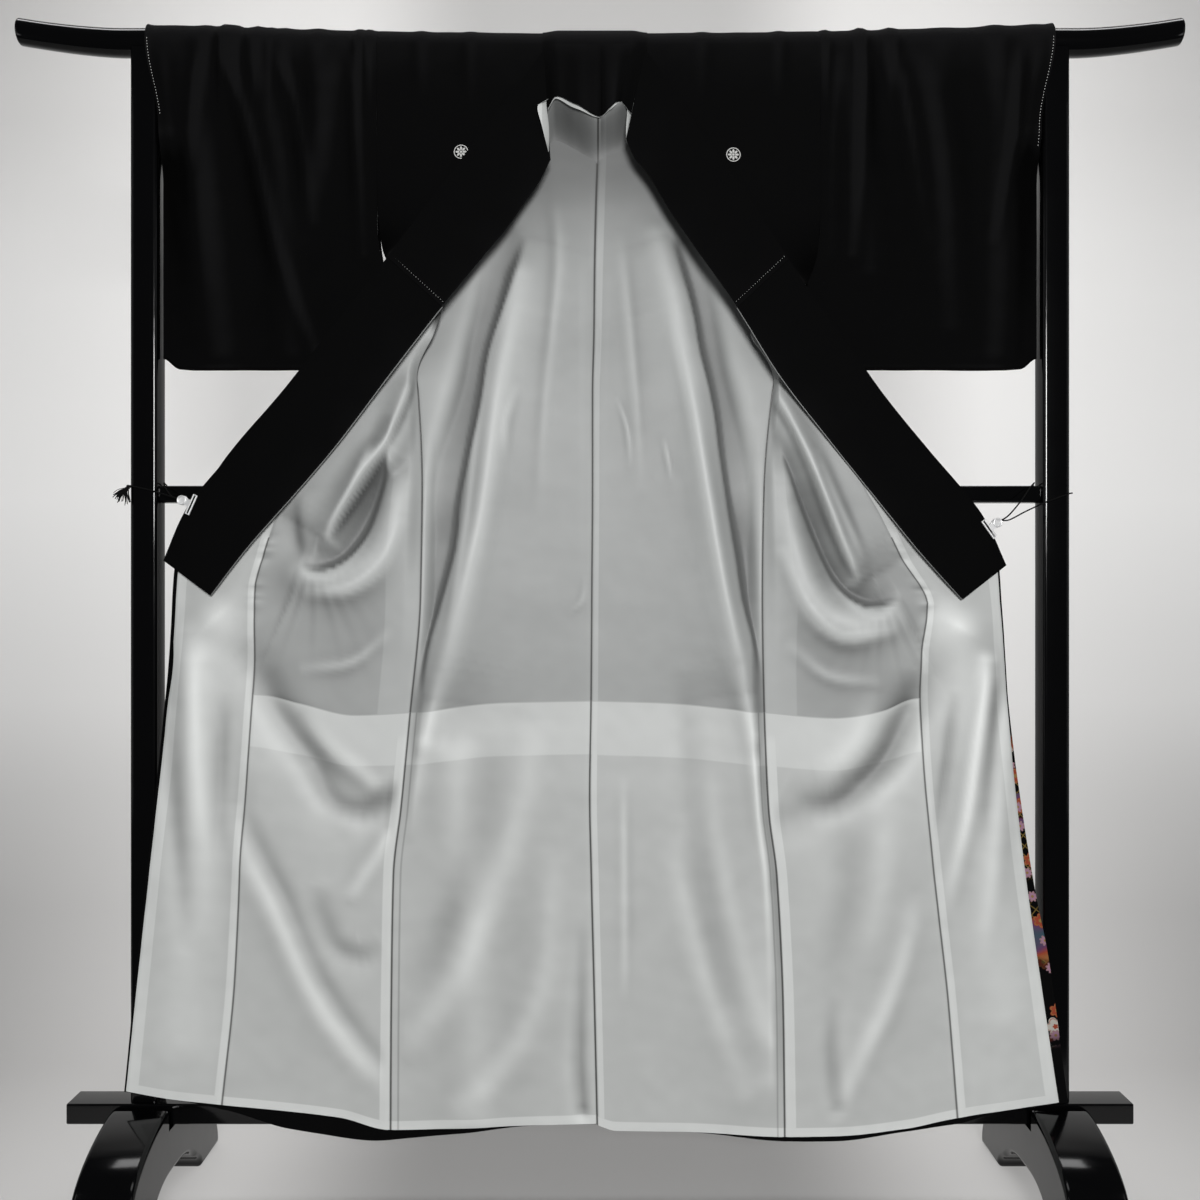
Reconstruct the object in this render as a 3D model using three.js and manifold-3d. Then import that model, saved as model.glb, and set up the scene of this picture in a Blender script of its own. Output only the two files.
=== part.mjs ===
// Kurotomesode kimono hung wide open on a lacquered kimono stand.
// Millimetres, +Z up, +X to the viewer's right, and the open front faces -Y.
// "Left" and "right" are the viewer's. Distances called "out" run from the middle outwards.
import * as THREE from 'three';
import { mergeVertices } from 'three/addons/utils/BufferGeometryUtils.js';
import Module from 'manifold-3d';

const wasm = await Module();
wasm.setup();

// ---------------------------------------------------------------- driving dimensions

const SEAM_GAP = 0.3;
const LINING = 1.0;
const SHELL = 1.3;
const LAYER_GAP = 0.5;
const SHELL_FROM = LINING + LAYER_GAP;
const SHELL_TO = SHELL_FROM + SHELL;
const COLLAR = 2.6;

const rail = { radius: 21, tipRadius: 19.5, height: 1712, sag: 12, sweep: 17, half: 857, sweepFrom: 700 };
const post = { x: 667.5, width: 40, depth: 40, corner: 6, top: 1700 };
const midBar = { bottom: 1033, size: 25, corner: 5 };
const beam = { half: 778, depth: 52, bottom: 125.5, thickness: 30, corner: 2.5 };
const foot = { half: 215, width: 84, rise: 150, shoulder: 34, tip: 30 };
const footArch = { half: 91, step: 32, height: 54 };
const clip = { width: 31, lip: 1.5, mouth: 2.2, roll: 4.2, reach: 12, eye: 5.6, eyeWire: 1.2, eyeReach: 18 };
const cordRadius = 1.1;

const clothRadius = rail.radius + 1.5;
const cuff = { opening: 1500, rise: 80, end: 644, flare: 20 };
const sleeve = { bottom: 1234, hang: 4, corner: 24 };
const underarm = 1190;
const joinHeight = 741;
const hemLabel = 125;
const shoulder = rail.height + clothRadius * Math.PI / 2;

const colours = {
  blackSilk: { color: 0x0e0e10, roughness: 0.82, metalness: 0 },
  whiteSilk: { color: 0xe4e5e4, roughness: 0.5, metalness: 0 },
  greySilk: { color: 0xcfd2d4, roughness: 0.5, metalness: 0 },
  lacquer: { color: 0x060607, roughness: 0.14, metalness: 0 },
  chrome: { color: 0xd6d8da, roughness: 0.16, metalness: 1 },
  cord: { color: 0x101012, roughness: 0.8, metalness: 0 },
};

// ---------------------------------------------------------------- tables

function table(names, rows) {
  const keys = names.split(' ');
  return rows.map((row) => Object.fromEntries(keys.map((key, k) => [key, row[k]])));
}

// Back panels: the centre seam and the side seam, and how far each lies from the middle plane.
const backLines = {
  left: table('h centre centreY side sideY', [
    [1712, 6, 22.2, 326, 22.2],
    [1600, 3, 17, 326, 18],
    [1480, 6, 6, 326, 12],
    [1380, 8, -2, 308, 6],
    [1280, 9, -10, 284, -4],
    [1190, 11, -20, 266, -17],
    [1050, 11, -28, 259, -26],
    [900, 12, -31, 261, -29],
    [741, 13, -32, 276, -30],
    [600, 15, -33, 289, -32],
    [500, 13, -33, 300, -33],
    [300, 8, -34, 303, -34],
    [125, 4, -34, 304, -34],
  ]),
  right: table('h centre centreY side sideY', [
    [1712, -6, 22.2, 322, 22.2],
    [1600, -3, 17, 322, 18],
    [1480, -6, 6, 320, 12],
    [1380, -8, -2, 300, 6],
    [1280, -9, -10, 272, -4],
    [1190, -11, -20, 252, -17],
    [1050, -11, -28, 239, -26],
    [900, -12, -31, 236, -29],
    [741, -13, -32, 239, -30],
    [600, -15, -33, 245, -32],
    [500, -13, -33, 257, -33],
    [300, -8, -34, 266, -34],
    [125, -4, -34, 268, -34],
  ]),
};

// Fronts: overlap seam and front edge. Above the overlap's tip the two are one.
const frontLines = {
  left: table('h overlap overlapY edge edgeY', [
    [1712, 80, -22.2, 80, -22.2],
    [1684, 84, -23, 84, -23],
    [1643, 116, -25, 116, -25],
    [1600, 149, -27, 149, -27],
    [1530, 200, -29.7, 200, -29.7],
    [1470, 245, -32.7, 245, -32.7],
    [1408, 289, -36.5, 289, -36.5],
    [1375, 314, -38.5, 314, -38.5],
    [1340, 341, -40, 341, -40],
    [1311, 362, -41, 364, -41],
    [1278, 374, -41.5, 389, -41.7],
    [1240, 388, -42, 418, -42.5],
    [1190, 407, -43, 457, -43.5],
    [1100, 440, -43, 533, -42.5],
    [1050, 457, -42, 568, -40],
    [1020, 466, -41, 592, -37.5],
    [950, 488, -40, 609, -37],
    [900, 500, -38, 614, -36],
    [800, 502, -36, 619, -35],
    [700, 507, -35, 629, -34],
    [500, 521, -34, 650, -34],
    [300, 531, -34, 671, -34],
    [125, 549, -34, 688, -34],
  ]),
  right: table('h overlap overlapY edge edgeY', [
    [1712, 66, -22.2, 66, -22.2],
    [1684, 72, -23, 72, -23],
    [1643, 100, -25, 100, -25],
    [1600, 125, -27, 125, -27],
    [1530, 175, -29.7, 175, -29.7],
    [1470, 216, -32.7, 216, -32.7],
    [1408, 255, -36.5, 255, -36.5],
    [1360, 285, -39.5, 285, -39.5],
    [1330, 305, -40.5, 305, -40.5],
    [1300, 326, -41, 328, -41.5],
    [1278, 332, -41.5, 343, -42],
    [1240, 334, -42, 370, -42.5],
    [1190, 337, -43, 405, -43.5],
    [1100, 362, -43, 478, -42.5],
    [1050, 382, -42, 520, -40],
    [1020, 400, -41, 540, -37.5],
    [950, 436, -40, 574, -37],
    [880, 474, -38, 580, -36],
    [800, 466, -36, 586, -35],
    [700, 467, -35, 593, -34],
    [500, 483, -34, 614, -34],
    [300, 505, -34, 641, -34],
    [125, 519, -34, 666, -34],
  ]),
};

// Fronts' side edges down to the underarm; below it they share the back's side seam.
const frontSides = {
  left: table('h side sideY', [
    [1712, 326, -22.2], [1684, 326, -22.2], [1643, 326, -21.8], [1600, 326, -20.5],
    [1530, 326, -19.5], [1470, 325, -18], [1408, 318, -15], [1375, 302, -13],
    [1340, 262, -17], [1311, 232, -24], [1278, 241, -28], [1240, 252, -28],
    [1190, 266, -20.5],
  ]),
  right: table('h side sideY', [
    [1712, 322, -22.2], [1684, 322, -22.2], [1643, 322, -21.8], [1600, 322, -20.5],
    [1530, 322, -19.5], [1470, 322, -18], [1408, 319, -15], [1360, 305, -13],
    [1330, 272, -15], [1300, 226, -23], [1278, 218, -28], [1240, 230, -28],
    [1190, 252, -20.5],
  ]),
};

// Bottom edges by place across a half (0 centre, 1 side seam, 2 overlap seam, 3 front edge): the
// height of the lining, and how far the shell drops below it.
const hems = {
  left: table('s lining drop', [
    [0, 130, 0], [0.3, 128, 1], [0.65, 124, 8], [1, 121, 15], [1.3, 139, 29],
    [1.6, 148, 26], [2, 157, 7], [2.5, 165, 1], [3, 177, 1],
  ]),
  right: table('s lining drop', [
    [0, 128, 0], [0.1, 120, 0], [0.5, 118, 1], [1, 111, 7], [1.3, 112, 8],
    [1.7, 123, 5], [2, 138, 9], [2.5, 150, 1], [3, 161, 1],
  ]),
};
const joins = {
  left: table('s rise', [[0, 3], [0.5, 0], [1, -14], [1.35, -18], [1.7, -1], [2, 12], [3, 12]]),
  right: table('s rise', [[0, 3], [0.4, 0], [1, -14], [1.45, -22], [1.75, -12], [2, 6], [3, 6]]),
};

// How far the black shell stands out past the lining along the front edges.
const slivers = {
  left: table('h width', [[1300, 2], [950, 6], [700, 5], [125, 3]]),
  right: table('h width', [[1300, 2], [950, 3], [745, 2], [600, 6], [455, 11], [330, 17], [125, 14]]),
};

// Creases: a line of places (out, z) with how far the cloth stands forward on it, and its half width.
const backCreases = {
  left: [
    crease(20, [[121, 1364, 4], [150, 1185, 10], [172, 1021, 13], [201, 890, 12], [255, 690, 7]]),
    crease(19, [[143, 1430, -6], [182, 1254, -14], [222, 1100, -12], [245, 980, -8], [262, 880, -3]]),
    crease(34, [[215, 660, 5], [190, 420, 6], [180, 150, 4]]),
  ],
  right: [
    crease(20, [[87, 1429, 4], [134, 1211, 10], [153, 1065, 13], [185, 880, 12], [232, 700, 8]]),
    crease(19, [[131, 1410, -6], [168, 1240, -14], [196, 1110, -12], [213, 985, -8], [226, 900, -3]]),
    crease(30, [[238, 640, 7], [250, 450, 8], [262, 200, 5]]),
  ],
};
const frontCreases = {
  left: [
    crease(19, [
      [266, 1206, 6], [274, 1178, 16], [305, 1110, 30], [331, 1081, 30], [362, 1030, 22], [390, 985, 10],
    ]),
    crease(24, [[290, 1075, -3], [318, 1045, -4], [345, 1005, -7], [370, 975, -5]]),
    crease(26, [[300, 1090, 2], [296, 1020, 12], [318, 955, 16], [372, 915, 14], [430, 925, 8]]),
    crease(30, [[560, 860, 7], [505, 800, -6], [440, 690, -8], [350, 610, -5], [300, 590, -3]]),
    crease(40, [[580, 800, 7], [600, 560, 8], [610, 260, 4]]),
  ],
  right: [
    crease(19, [
      [240, 1206, 6], [252, 1178, 16], [293, 1094, 30], [324, 1019, 26], [342, 969, 20], [367, 925, 8],
    ]),
    crease(24, [[290, 1030, -4], [310, 985, -7], [330, 935, -7], [355, 905, -4]]),
    crease(26, [[276, 1060, 4], [284, 960, 12], [315, 880, 15], [372, 850, 13], [430, 865, 7]]),
    crease(30, [[520, 850, 6], [470, 760, -7], [400, 650, -8], [320, 590, -5], [262, 575, -3]]),
    crease(40, [[530, 840, 8], [548, 600, 7], [590, 300, 4]]),
  ],
};
const sleeveCreases = {
  left: [
    crease(26, [[600, 1690, 2], [585, 1500, 7], [560, 1260, 4]]),
    crease(24, [[500, 1690, 2], [470, 1520, 6], [455, 1260, 3]]),
    crease(22, [[395, 1700, 3], [410, 1560, 6], [430, 1420, 2]]),
  ],
  right: [
    crease(26, [[590, 1690, 2], [600, 1520, 6], [590, 1260, 4]]),
    crease(24, [[470, 1700, 3], [500, 1540, 7], [520, 1300, 3]]),
    crease(22, [[360, 1700, 2], [380, 1560, 5], [400, 1380, 3]]),
  ],
};

// Collar ribbon stations from the neck to the end: the sewn edge and the free edge.
const collarStations = {
  left: table('seam seamZ seamY free freeZ freeY', [
    [82, 1690, -27.6, 72, 1530, -30],
    [112, 1648, -29.3, 88, 1498, -32],
    [149, 1600, -31.4, 107, 1470, -35],
    [201, 1529, -34, 133, 1431, -38],
    [245, 1470, -37, 172, 1382, -43],
    [307, 1385, -42, 228, 1313, -47],
    [378, 1293, -45.5, 299, 1219, -54],
    [466, 1179, -47.8, 377, 1114, -58],
    [539, 1092, -47.8, 440, 1040, -58],
    [597, 1020, -45.4, 505, 968, -54],
    [630, 947, -43.6, 561, 897, -50],
  ]),
  right: table('seam seamZ seamY free freeZ freeY', [
    [66, 1690, -27.6, 38, 1560, -30],
    [95, 1651, -29.3, 50, 1532, -32],
    [117, 1614, -31.4, 70, 1506, -35],
    [170, 1536, -34, 100, 1455, -38],
    [213, 1475, -37, 133, 1405, -43],
    [272, 1382, -42, 198, 1312, -47],
    [340, 1281, -45.5, 258, 1214, -54],
    [413, 1179, -47.8, 330, 1119, -58],
    [474, 1105, -47.8, 387, 1048, -58],
    [555, 1006, -45.4, 462, 957, -54],
    [586, 940, -43.6, 522, 891, -50],
  ]),
};
const overCollarEnd = 5;
const neckline = table('top low free', [
  [-81, -76, 1606], [-66, -64, 1622], [-36, -35, 1610], [-4, -3, 1595], [20, 15, 1606], [42, 29, 1615],
  [65, 45.5, 1600],
]);

// Where each clip bites the collar's sewn edge: how deep, how far along from the tenth station,
// and the direction it is pulled in.
const clips = {
  left: { bite: 6, slide: -11, pull: [-0.91, 0, 0.41] },
  right: { bite: 6, slide: 15, pull: [0.81, 0, 0.58] },
};
// The cords from behind each clip's eye, over the bar, round the post and back to the eye's front.
const cords = {
  left: [
    [-616, -38, 1038], [-624, -33, 1043], [-633, -26, 1053], [-640, -12, 1061.5],
    [-643, 2, 1061.5], [-644.5, 16, 1058.5], [-653, 25, 1056], [-670, 24, 1055], [-684, 24, 1055],
    [-691, 17.5, 1055.5], [-691.5, 0, 1056], [-691, -17.5, 1056.5], [-684, -24, 1056.5],
    [-672, -24, 1054], [-655, -25, 1050], [-634, -31, 1044], [-618, -42, 1039],
  ],
  right: [
    [585, -41, 1008], [595, -38, 1016], [612, -33, 1035], [626, -26, 1053],
    [637, -12, 1061.5], [641, 2, 1061.5], [645, 15, 1058.5], [654, 24, 1055], [672, 24, 1050],
    [684, 24, 1048], [691, 17.5, 1047], [691.5, 0, 1047], [691, -17.5, 1046.5], [684, -24, 1045],
    [664, -25, 1038], [643, -30, 1030], [616, -37, 1018], [598, -43, 1009], [588, -46, 1005],
  ],
};
const tail = { at: [-692.8, -22.6, 1054.6], strands: 9, length: 15, radius: 0.55, head: 4 };

// ---------------------------------------------------------------- small helpers

const { lerp, clamp, smoothstep } = THREE.MathUtils;
const group = new THREE.Group();

function vec(x, y, z) {
  return new THREE.Vector3(x, y, z);
}

function crease(width, line) {
  return { width, line: line.map(([out, z, forward]) => ({ out, z, forward })) };
}

// A table's column at a place, on a smooth curve that never overshoots its rows.
function along(rows, key, name, place) {
  const rising = rows[0][key] < rows[rows.length - 1][key];
  const list = rising ? rows : [...rows].reverse();
  const at = clamp(place, list[0][key], list[list.length - 1][key]);
  const k = clamp(list.findIndex((row) => row[key] >= at), 1, list.length - 1);
  const slope = (i) => (list[i][name] - list[i - 1][name]) / (list[i][key] - list[i - 1][key]);
  const tangent = (i) => {
    if (i === 0 || i === list.length - 1) return slope(clamp(i, 1, list.length - 1));
    const [a, b] = [slope(i), slope(i + 1)];
    return a * b <= 0 ? 0 : 2 * a * b / (a + b);
  };
  const span = list[k][key] - list[k - 1][key];
  const t = (at - list[k - 1][key]) / span;
  const [tt, ttt] = [t * t, t * t * t];
  return (2 * ttt - 3 * tt + 1) * list[k - 1][name] + (ttt - 2 * tt + t) * span * tangent(k - 1)
    + (3 * tt - 2 * ttt) * list[k][name] + (ttt - tt) * span * tangent(k);
}

// How far the creases of a list lift the cloth forward at one place.
function lift(creases, out, z) {
  let sum = 0;
  for (const { width, line } of creases) {
    let nearest = Infinity;
    let forward = 0;
    for (let k = 1; k < line.length; k += 1) {
      const a = line[k - 1];
      const b = line[k];
      const length2 = (b.out - a.out) ** 2 + (b.z - a.z) ** 2;
      const t = clamp(((out - a.out) * (b.out - a.out) + (z - a.z) * (b.z - a.z)) / length2, 0, 1);
      const away = Math.hypot(out - lerp(a.out, b.out, t), z - lerp(a.z, b.z, t));
      if (away < nearest) {
        nearest = away;
        forward = lerp(a.forward, b.forward, t);
      }
    }
    sum += forward * Math.exp(-((nearest / width) ** 2));
  }
  return sum;
}

function railRise(x) {
  const t = Math.abs(x) / (post.x - post.width);
  if (t < 1) return -rail.sag * (1 - t * t);
  return rail.sweep * Math.max(0, (Math.abs(x) - rail.sweepFrom) / (rail.half - rail.sweepFrom)) ** 1.6;
}

// Adds one closed body, turned so that its faces point out.
function solid(name, geometry, finish) {
  geometry.deleteAttribute('normal');
  geometry.deleteAttribute('uv');
  const merged = mergeVertices(geometry, 1e-3);
  const position = merged.attributes.position;
  const index = merged.index.array;
  const corner = (k) => vec().fromBufferAttribute(position, index[k]);
  let volume = 0;
  for (let k = 0; k < index.length; k += 3) {
    volume += corner(k).dot(corner(k + 1).cross(corner(k + 2)));
  }
  if (volume < 0) {
    for (let k = 0; k < index.length; k += 3) {
      [index[k], index[k + 1]] = [index[k + 1], index[k]];
    }
  }
  merged.computeVertexNormals();
  const mesh = new THREE.Mesh(merged, new THREE.MeshStandardMaterial(colours[finish]));
  mesh.name = name;
  group.add(mesh);
  return mesh;
}

function meshFrom(points, faces) {
  const geometry = new THREE.BufferGeometry();
  geometry.setAttribute('position', new THREE.Float32BufferAttribute(points.flatMap((p) => p.toArray()), 3));
  geometry.setIndex(faces);
  return geometry;
}

function toManifold(geometry) {
  geometry.deleteAttribute('normal');
  geometry.deleteAttribute('uv');
  const merged = mergeVertices(geometry, 1e-4);
  const vertProperties = new Float32Array(merged.attributes.position.array);
  const triVerts = new Uint32Array(merged.index.array);
  return new wasm.Manifold(new wasm.Mesh({ numProp: 3, vertProperties, triVerts }));
}

function fromManifold(body) {
  const { vertProperties, triVerts } = body.getMesh();
  const geometry = new THREE.BufferGeometry();
  geometry.setAttribute('position', new THREE.Float32BufferAttribute(vertProperties, 3));
  geometry.setIndex([...triVerts]);
  return geometry;
}

// ---------------------------------------------------------------- cloth

// A sheet is a grid of points with their normals: sheet[row][column]. A ring closes on itself.
function sheet(rows, columns, pointAt, turned, ring = false) {
  const points = rows.map((row) => columns.map((column) => pointAt(column, row)));
  const width = columns.length;
  return points.map((line, i) => line.map((point, j) => {
    const left = ring ? line[(j + width - 1) % width] : line[Math.max(j - 1, 0)];
    const right = ring ? line[(j + 1) % width] : line[Math.min(j + 1, width - 1)];
    const above = points[Math.max(i - 1, 0)][j];
    const below = points[Math.min(i + 1, points.length - 1)][j];
    const normal = vec().crossVectors(right.clone().sub(left), above.clone().sub(below)).normalize();
    return { point, normal: turned ? normal.negate() : normal };
  }));
}

// The part of a sheet between two rows and two columns.
function cut(grid, rowFrom, rowTo, columnFrom, columnTo) {
  return grid.slice(rowFrom, rowTo + 1).map((line) => line.slice(columnFrom, columnTo + 1));
}

function towards(point, neighbour, distance) {
  return point.clone().add(neighbour.clone().sub(point).setLength(distance));
}

// A cloth wall between two distances from a sheet, drawn back half a seam gap at its borders.
function wall(grid, from, to, ring = false) {
  const last = grid.length - 1;
  const width = grid[0].length;
  const half = SEAM_GAP / 2;
  const drawn = grid.map((line, i) => line.map(({ point, normal }, j) => {
    let place = point;
    if (i === 0) place = towards(place, grid[1][j].point, half);
    if (i === last) place = towards(place, grid[last - 1][j].point, half);
    if (!ring && j === 0) place = towards(place, line[1].point, half);
    if (!ring && j === width - 1) place = towards(place, line[width - 2].point, half);
    return { place, normal };
  }));
  const away = ({ place, normal }, distance) => place.clone().addScaledVector(normal, distance);
  const face = (distance) => drawn.flat().map((spot) => away(spot, distance));
  const points = [...face(from), ...face(to)];
  const count = (last + 1) * width;
  const faces = [];
  const quad = (a, b, c, d) => faces.push(a, b, c, a, c, d);
  const columns = ring ? width : width - 1;
  for (let i = 0; i < last; i += 1) {
    for (let j = 0; j < columns; j += 1) {
      const a = i * width + j;
      const b = i * width + (j + 1) % width;
      const [c, d] = [b + width, a + width];
      quad(a, b, c, d);
      quad(count + a, count + d, count + c, count + b);
    }
  }
  const rim = (a, b) => quad(b, a, count + a, count + b);
  for (let j = 0; j < columns; j += 1) {
    const next = (j + 1) % width;
    rim(j, next);
    rim(last * width + next, last * width + j);
  }
  if (!ring) {
    for (let i = 0; i < last; i += 1) {
      rim((i + 1) * width, i * width);
      rim(i * width + width - 1, (i + 1) * width + width - 1);
    }
  }
  return meshFrom(points, faces);
}

// Height of a row label at one place across a half, with the curved join and hem.
function rowHeight(side, s, h) {
  const join = along(joins[side], 's', 'rise', s);
  const hem = along(hems[side], 's', 'lining', s) - hemLabel;
  if (h >= joinHeight) return h + join * (1 - smoothstep(h, joinHeight, joinHeight + 260));
  const t = (joinHeight - h) / (joinHeight - hemLabel);
  return h + lerp(join, hem, t);
}

// The fold over the rail: height and distance from the middle plane for labels above the rail axis.
function overRail(h) {
  const angle = Math.max(0, (h - rail.height) / clothRadius);
  return { z: Math.min(h, rail.height) + clothRadius * Math.sin(angle), y: clothRadius * Math.cos(angle) };
}

function clothPoint(side, out, y, z, h) {
  const x = side === 'left' ? -out : out;
  return vec(x, y, z + railRise(x) * smoothstep(h, 1400, 1640));
}

function backPoint(side, s, h) {
  const level = Math.min(h, rail.height);
  const at = (name) => along(backLines[side], 'h', name, level);
  const out = lerp(at('centre'), at('side'), s);
  if (h > rail.height) return clothPoint(side, out, overRail(h).y, overRail(h).z, h);
  const z = rowHeight(side, s, h);
  const offSeams = smoothstep(s, 0, 0.08) * smoothstep(1 - s, 0, 0.08);
  const y = lerp(at('centreY'), at('sideY'), s) - lift(backCreases[side], out, z) * offSeams;
  return clothPoint(side, out, y, z, h);
}

function frontPoint(side, s, h) {
  const level = Math.min(h, rail.height);
  const sides = h < underarm ? backLines : frontSides;
  const at = (name) => along(name.startsWith('side') ? sides[side] : frontLines[side], 'h', name, level);
  const [from, to] = s < 2 ? ['side', 'overlap'] : ['overlap', 'edge'];
  const t = s < 2 ? s - 1 : s - 2;
  const out = lerp(at(from), at(to), t);
  if (h > rail.height) return clothPoint(side, out, -overRail(h).y, overRail(h).z, h);
  const z = rowHeight(side, s, h);
  const folds = (1 - smoothstep(h, 1200, 1290)) * smoothstep(s - 1, 0, 0.1);
  const y = lerp(at(`${from}Y`), at(`${to}Y`), t) - lift(frontCreases[side], out, z) * folds;
  return clothPoint(side, out, y, z, h);
}

const railRows = [1, 2 / 3, 1 / 3, 0].map((turn) => lerp(rail.height, shoulder, turn));
const lowerRows = [
  underarm, 1145, 1100, 1055, 1010, 965, 915, 860, 800, joinHeight, 640, 520, 400, 280, 190, hemLabel,
];
const backRows = [...railRows, 1640, 1540, 1430, 1340, 1260, ...lowerRows];
const frontRows = [...railRows, 1640, 1560, 1470, 1408, 1375, 1345, 1311, 1278, 1235, ...lowerRows];
const joinRow = { back: backRows.indexOf(joinHeight), front: frontRows.indexOf(joinHeight) };
const crossingRow = frontRows.indexOf(1375);
const overlapRow = frontRows.indexOf(1278);
const backColumns = [0, 0.15, 0.3, 0.44, 0.58, 0.72, 0.86, 1];
const frontColumns = [1, 1.12, 1.24, 1.36, 1.48, 1.6, 1.73, 1.86, 2, 2.34, 2.67, 3];
const seamColumn = frontColumns.indexOf(2);

// The shell's sheet: the lining's, dropped at the hem and let out along the front edge.
function letOut(side, grid, columns, rows) {
  const end = grid.length - 1;
  const edge = columns.length - 1;
  return grid.map((line, i) => line.map(({ point, normal }, j) => {
    const drop = along(hems[side], 's', 'drop', columns[j]);
    let place = i === end ? towards(point, grid[end - 1][j].point, -drop) : point;
    if (columns[j] === 3 && i >= overlapRow) {
      const width = along(slivers[side], 'h', 'width', rows[i]);
      place = towards(place, line[edge - 1].point, -width).addScaledVector(normal, 0.05 * width);
    }
    return { point: place, normal };
  }));
}

// Back and front stand on one line down the side seam, so both take one normal there.
function shareSideSeam(back, front) {
  for (const h of lowerRows) {
    const a = back[backRows.indexOf(h)][backColumns.length - 1];
    const b = front[frontRows.indexOf(h)][0];
    const shared = a.normal.clone().add(b.normal).normalize();
    a.normal = shared;
    b.normal = shared.clone();
  }
}

function body(side) {
  const turned = side === 'right';
  const back = sheet(backRows, backColumns, (s, h) => backPoint(side, s, h), turned);
  const front = sheet(frontRows, frontColumns, (s, h) => frontPoint(side, s, h), turned);
  shareSideSeam(back, front);
  const [backEnd, backEdge] = [backRows.length - 1, backColumns.length - 1];
  const [frontEnd, frontEdge] = [frontRows.length - 1, frontColumns.length - 1];

  const frontShell = letOut(side, front, frontColumns, frontRows);
  const shell = (name, grid) => solid(name, wall(grid, SHELL_FROM, SHELL_TO), 'blackSilk');
  shell(`back_${side}`, letOut(side, back, backColumns, backRows));
  shell(`front_${side}`, cut(frontShell, 0, frontEnd, 0, seamColumn));
  shell(`overlap_${side}`, cut(frontShell, overlapRow, frontEnd, seamColumn, frontEdge));

  const lining = (name, grid, finish) => solid(name, wall(grid, 0, LINING), finish);
  lining(`back_lining_${side}`, cut(back, 0, joinRow.back, 0, backEdge), 'greySilk');
  lining(`back_hem_lining_${side}`, cut(back, joinRow.back, backEnd, 0, backEdge), 'whiteSilk');
  lining(`front_lining_${side}`, cut(front, crossingRow, joinRow.front, 0, seamColumn), 'greySilk');
  lining(`front_hem_lining_${side}`, cut(front, joinRow.front, frontEnd, 0, seamColumn), 'whiteSilk');
  lining(`overlap_lining_${side}`, cut(front, overlapRow, frontEnd, seamColumn, frontEdge), 'whiteSilk');
}

// ---------------------------------------------------------------- sleeves

// Half the distance between a sleeve's two layers, narrowing to the closed edge below the cuff.
function sleeveDepth(out, z) {
  const hang = lerp(sleeve.hang, clothRadius, smoothstep(z, sleeve.bottom, rail.height - 12) ** 0.8);
  const above = smoothstep(z, cuff.opening, cuff.opening + cuff.rise);
  const closed = smoothstep(out, cuff.end - 70, cuff.end) * (1 - above);
  const open = above * smoothstep(out, cuff.end - 60, cuff.end);
  return lerp(lerp(hang, clothRadius, open), 0.5, closed);
}

function sleeveRing(side, t) {
  const seam = (side === 'left' ? 326 : 322) + SEAM_GAP;
  const layer = [0, 0.12, 0.26, 0.4, 0.54, 0.68, 0.8, 0.9, 1];
  const folded = [30, 60, 90, 120, 150];
  const base = (fraction) => {
    const near = lerp(seam, cuff.end, t);
    const corner = sleeve.corner * smoothstep(near, cuff.end - sleeve.corner, cuff.end) * 0.6;
    const z = lerp(sleeve.bottom + corner, rail.height, fraction);
    const flare = cuff.flare * smoothstep(z, cuff.opening + cuff.rise, rail.height) * smoothstep(t, 0.7, 1);
    return { out: near + flare, z };
  };
  const layerPoint = (fraction, sign) => {
    const { out, z } = base(fraction);
    const ends = smoothstep(t, 0, 0.15) * (1 - smoothstep(t, 0.85, 1));
    const fold = lift(sleeveCreases[side], out, z) * ends * smoothstep(rail.height - z, 0, 60);
    return clothPoint(side, out, sign * (sleeveDepth(out, z) + fold), z, z + 60);
  };
  const arcPoint = (degrees) => {
    const { out, z } = base(1);
    const angle = THREE.MathUtils.degToRad(degrees);
    return clothPoint(side, out, -clothRadius * Math.cos(angle), z + clothRadius * Math.sin(angle), 1712);
  };
  const bottom = base(0);
  return [
    clothPoint(side, bottom.out, 0, bottom.z - Math.min(3, sleeveDepth(bottom.out, bottom.z)), bottom.z),
    ...layer.map((fraction) => layerPoint(fraction, -1)),
    ...folded.map(arcPoint),
    ...layer.map((fraction) => layerPoint(fraction, 1)).reverse(),
  ];
}

function sleeves(side) {
  const stations = [0, 0.14, 0.3, 0.47, 0.64, 0.8, 0.91, 1];
  const rings = stations.map((t) => sleeveRing(side, t));
  const columns = rings[0].map((_, k) => k);
  const grid = sheet(stations, columns, (k, t) => rings[stations.indexOf(t)][k], side === 'left', true);
  solid(`sleeve_${side}`, wall(grid, SHELL_FROM, SHELL_TO, true), 'blackSilk');
  const inside = grid.map((line, i) => {
    if (i > 0 && i < stations.length - 1) return line;
    const next = grid[i === 0 ? 1 : i - 1];
    return line.map((spot, k) => ({ point: towards(spot.point, next[k].point, 3), normal: spot.normal }));
  });
  solid(`sleeve_lining_${side}`, wall(inside, -SEAM_GAP, LINING - SEAM_GAP, true), 'greySilk');
}

// ---------------------------------------------------------------- collar

function ribbon(side, from, to, forward, freeFrom, freeTo) {
  const sign = side === 'left' ? -1 : 1;
  const stations = collarStations[side].slice(from, to + 1);
  const rows = stations.map((_, k) => k);
  const columns = [freeFrom, lerp(freeFrom, freeTo, 0.5), freeTo];
  const pointAt = (t, k) => {
    const row = stations[k];
    const out = lerp(row.seam, row.free, t);
    return vec(sign * out, lerp(row.seamY, row.freeY, t) - forward, lerp(row.seamZ, row.freeZ, t));
  };
  return sheet(rows, columns, pointAt, side === 'right');
}

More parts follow.
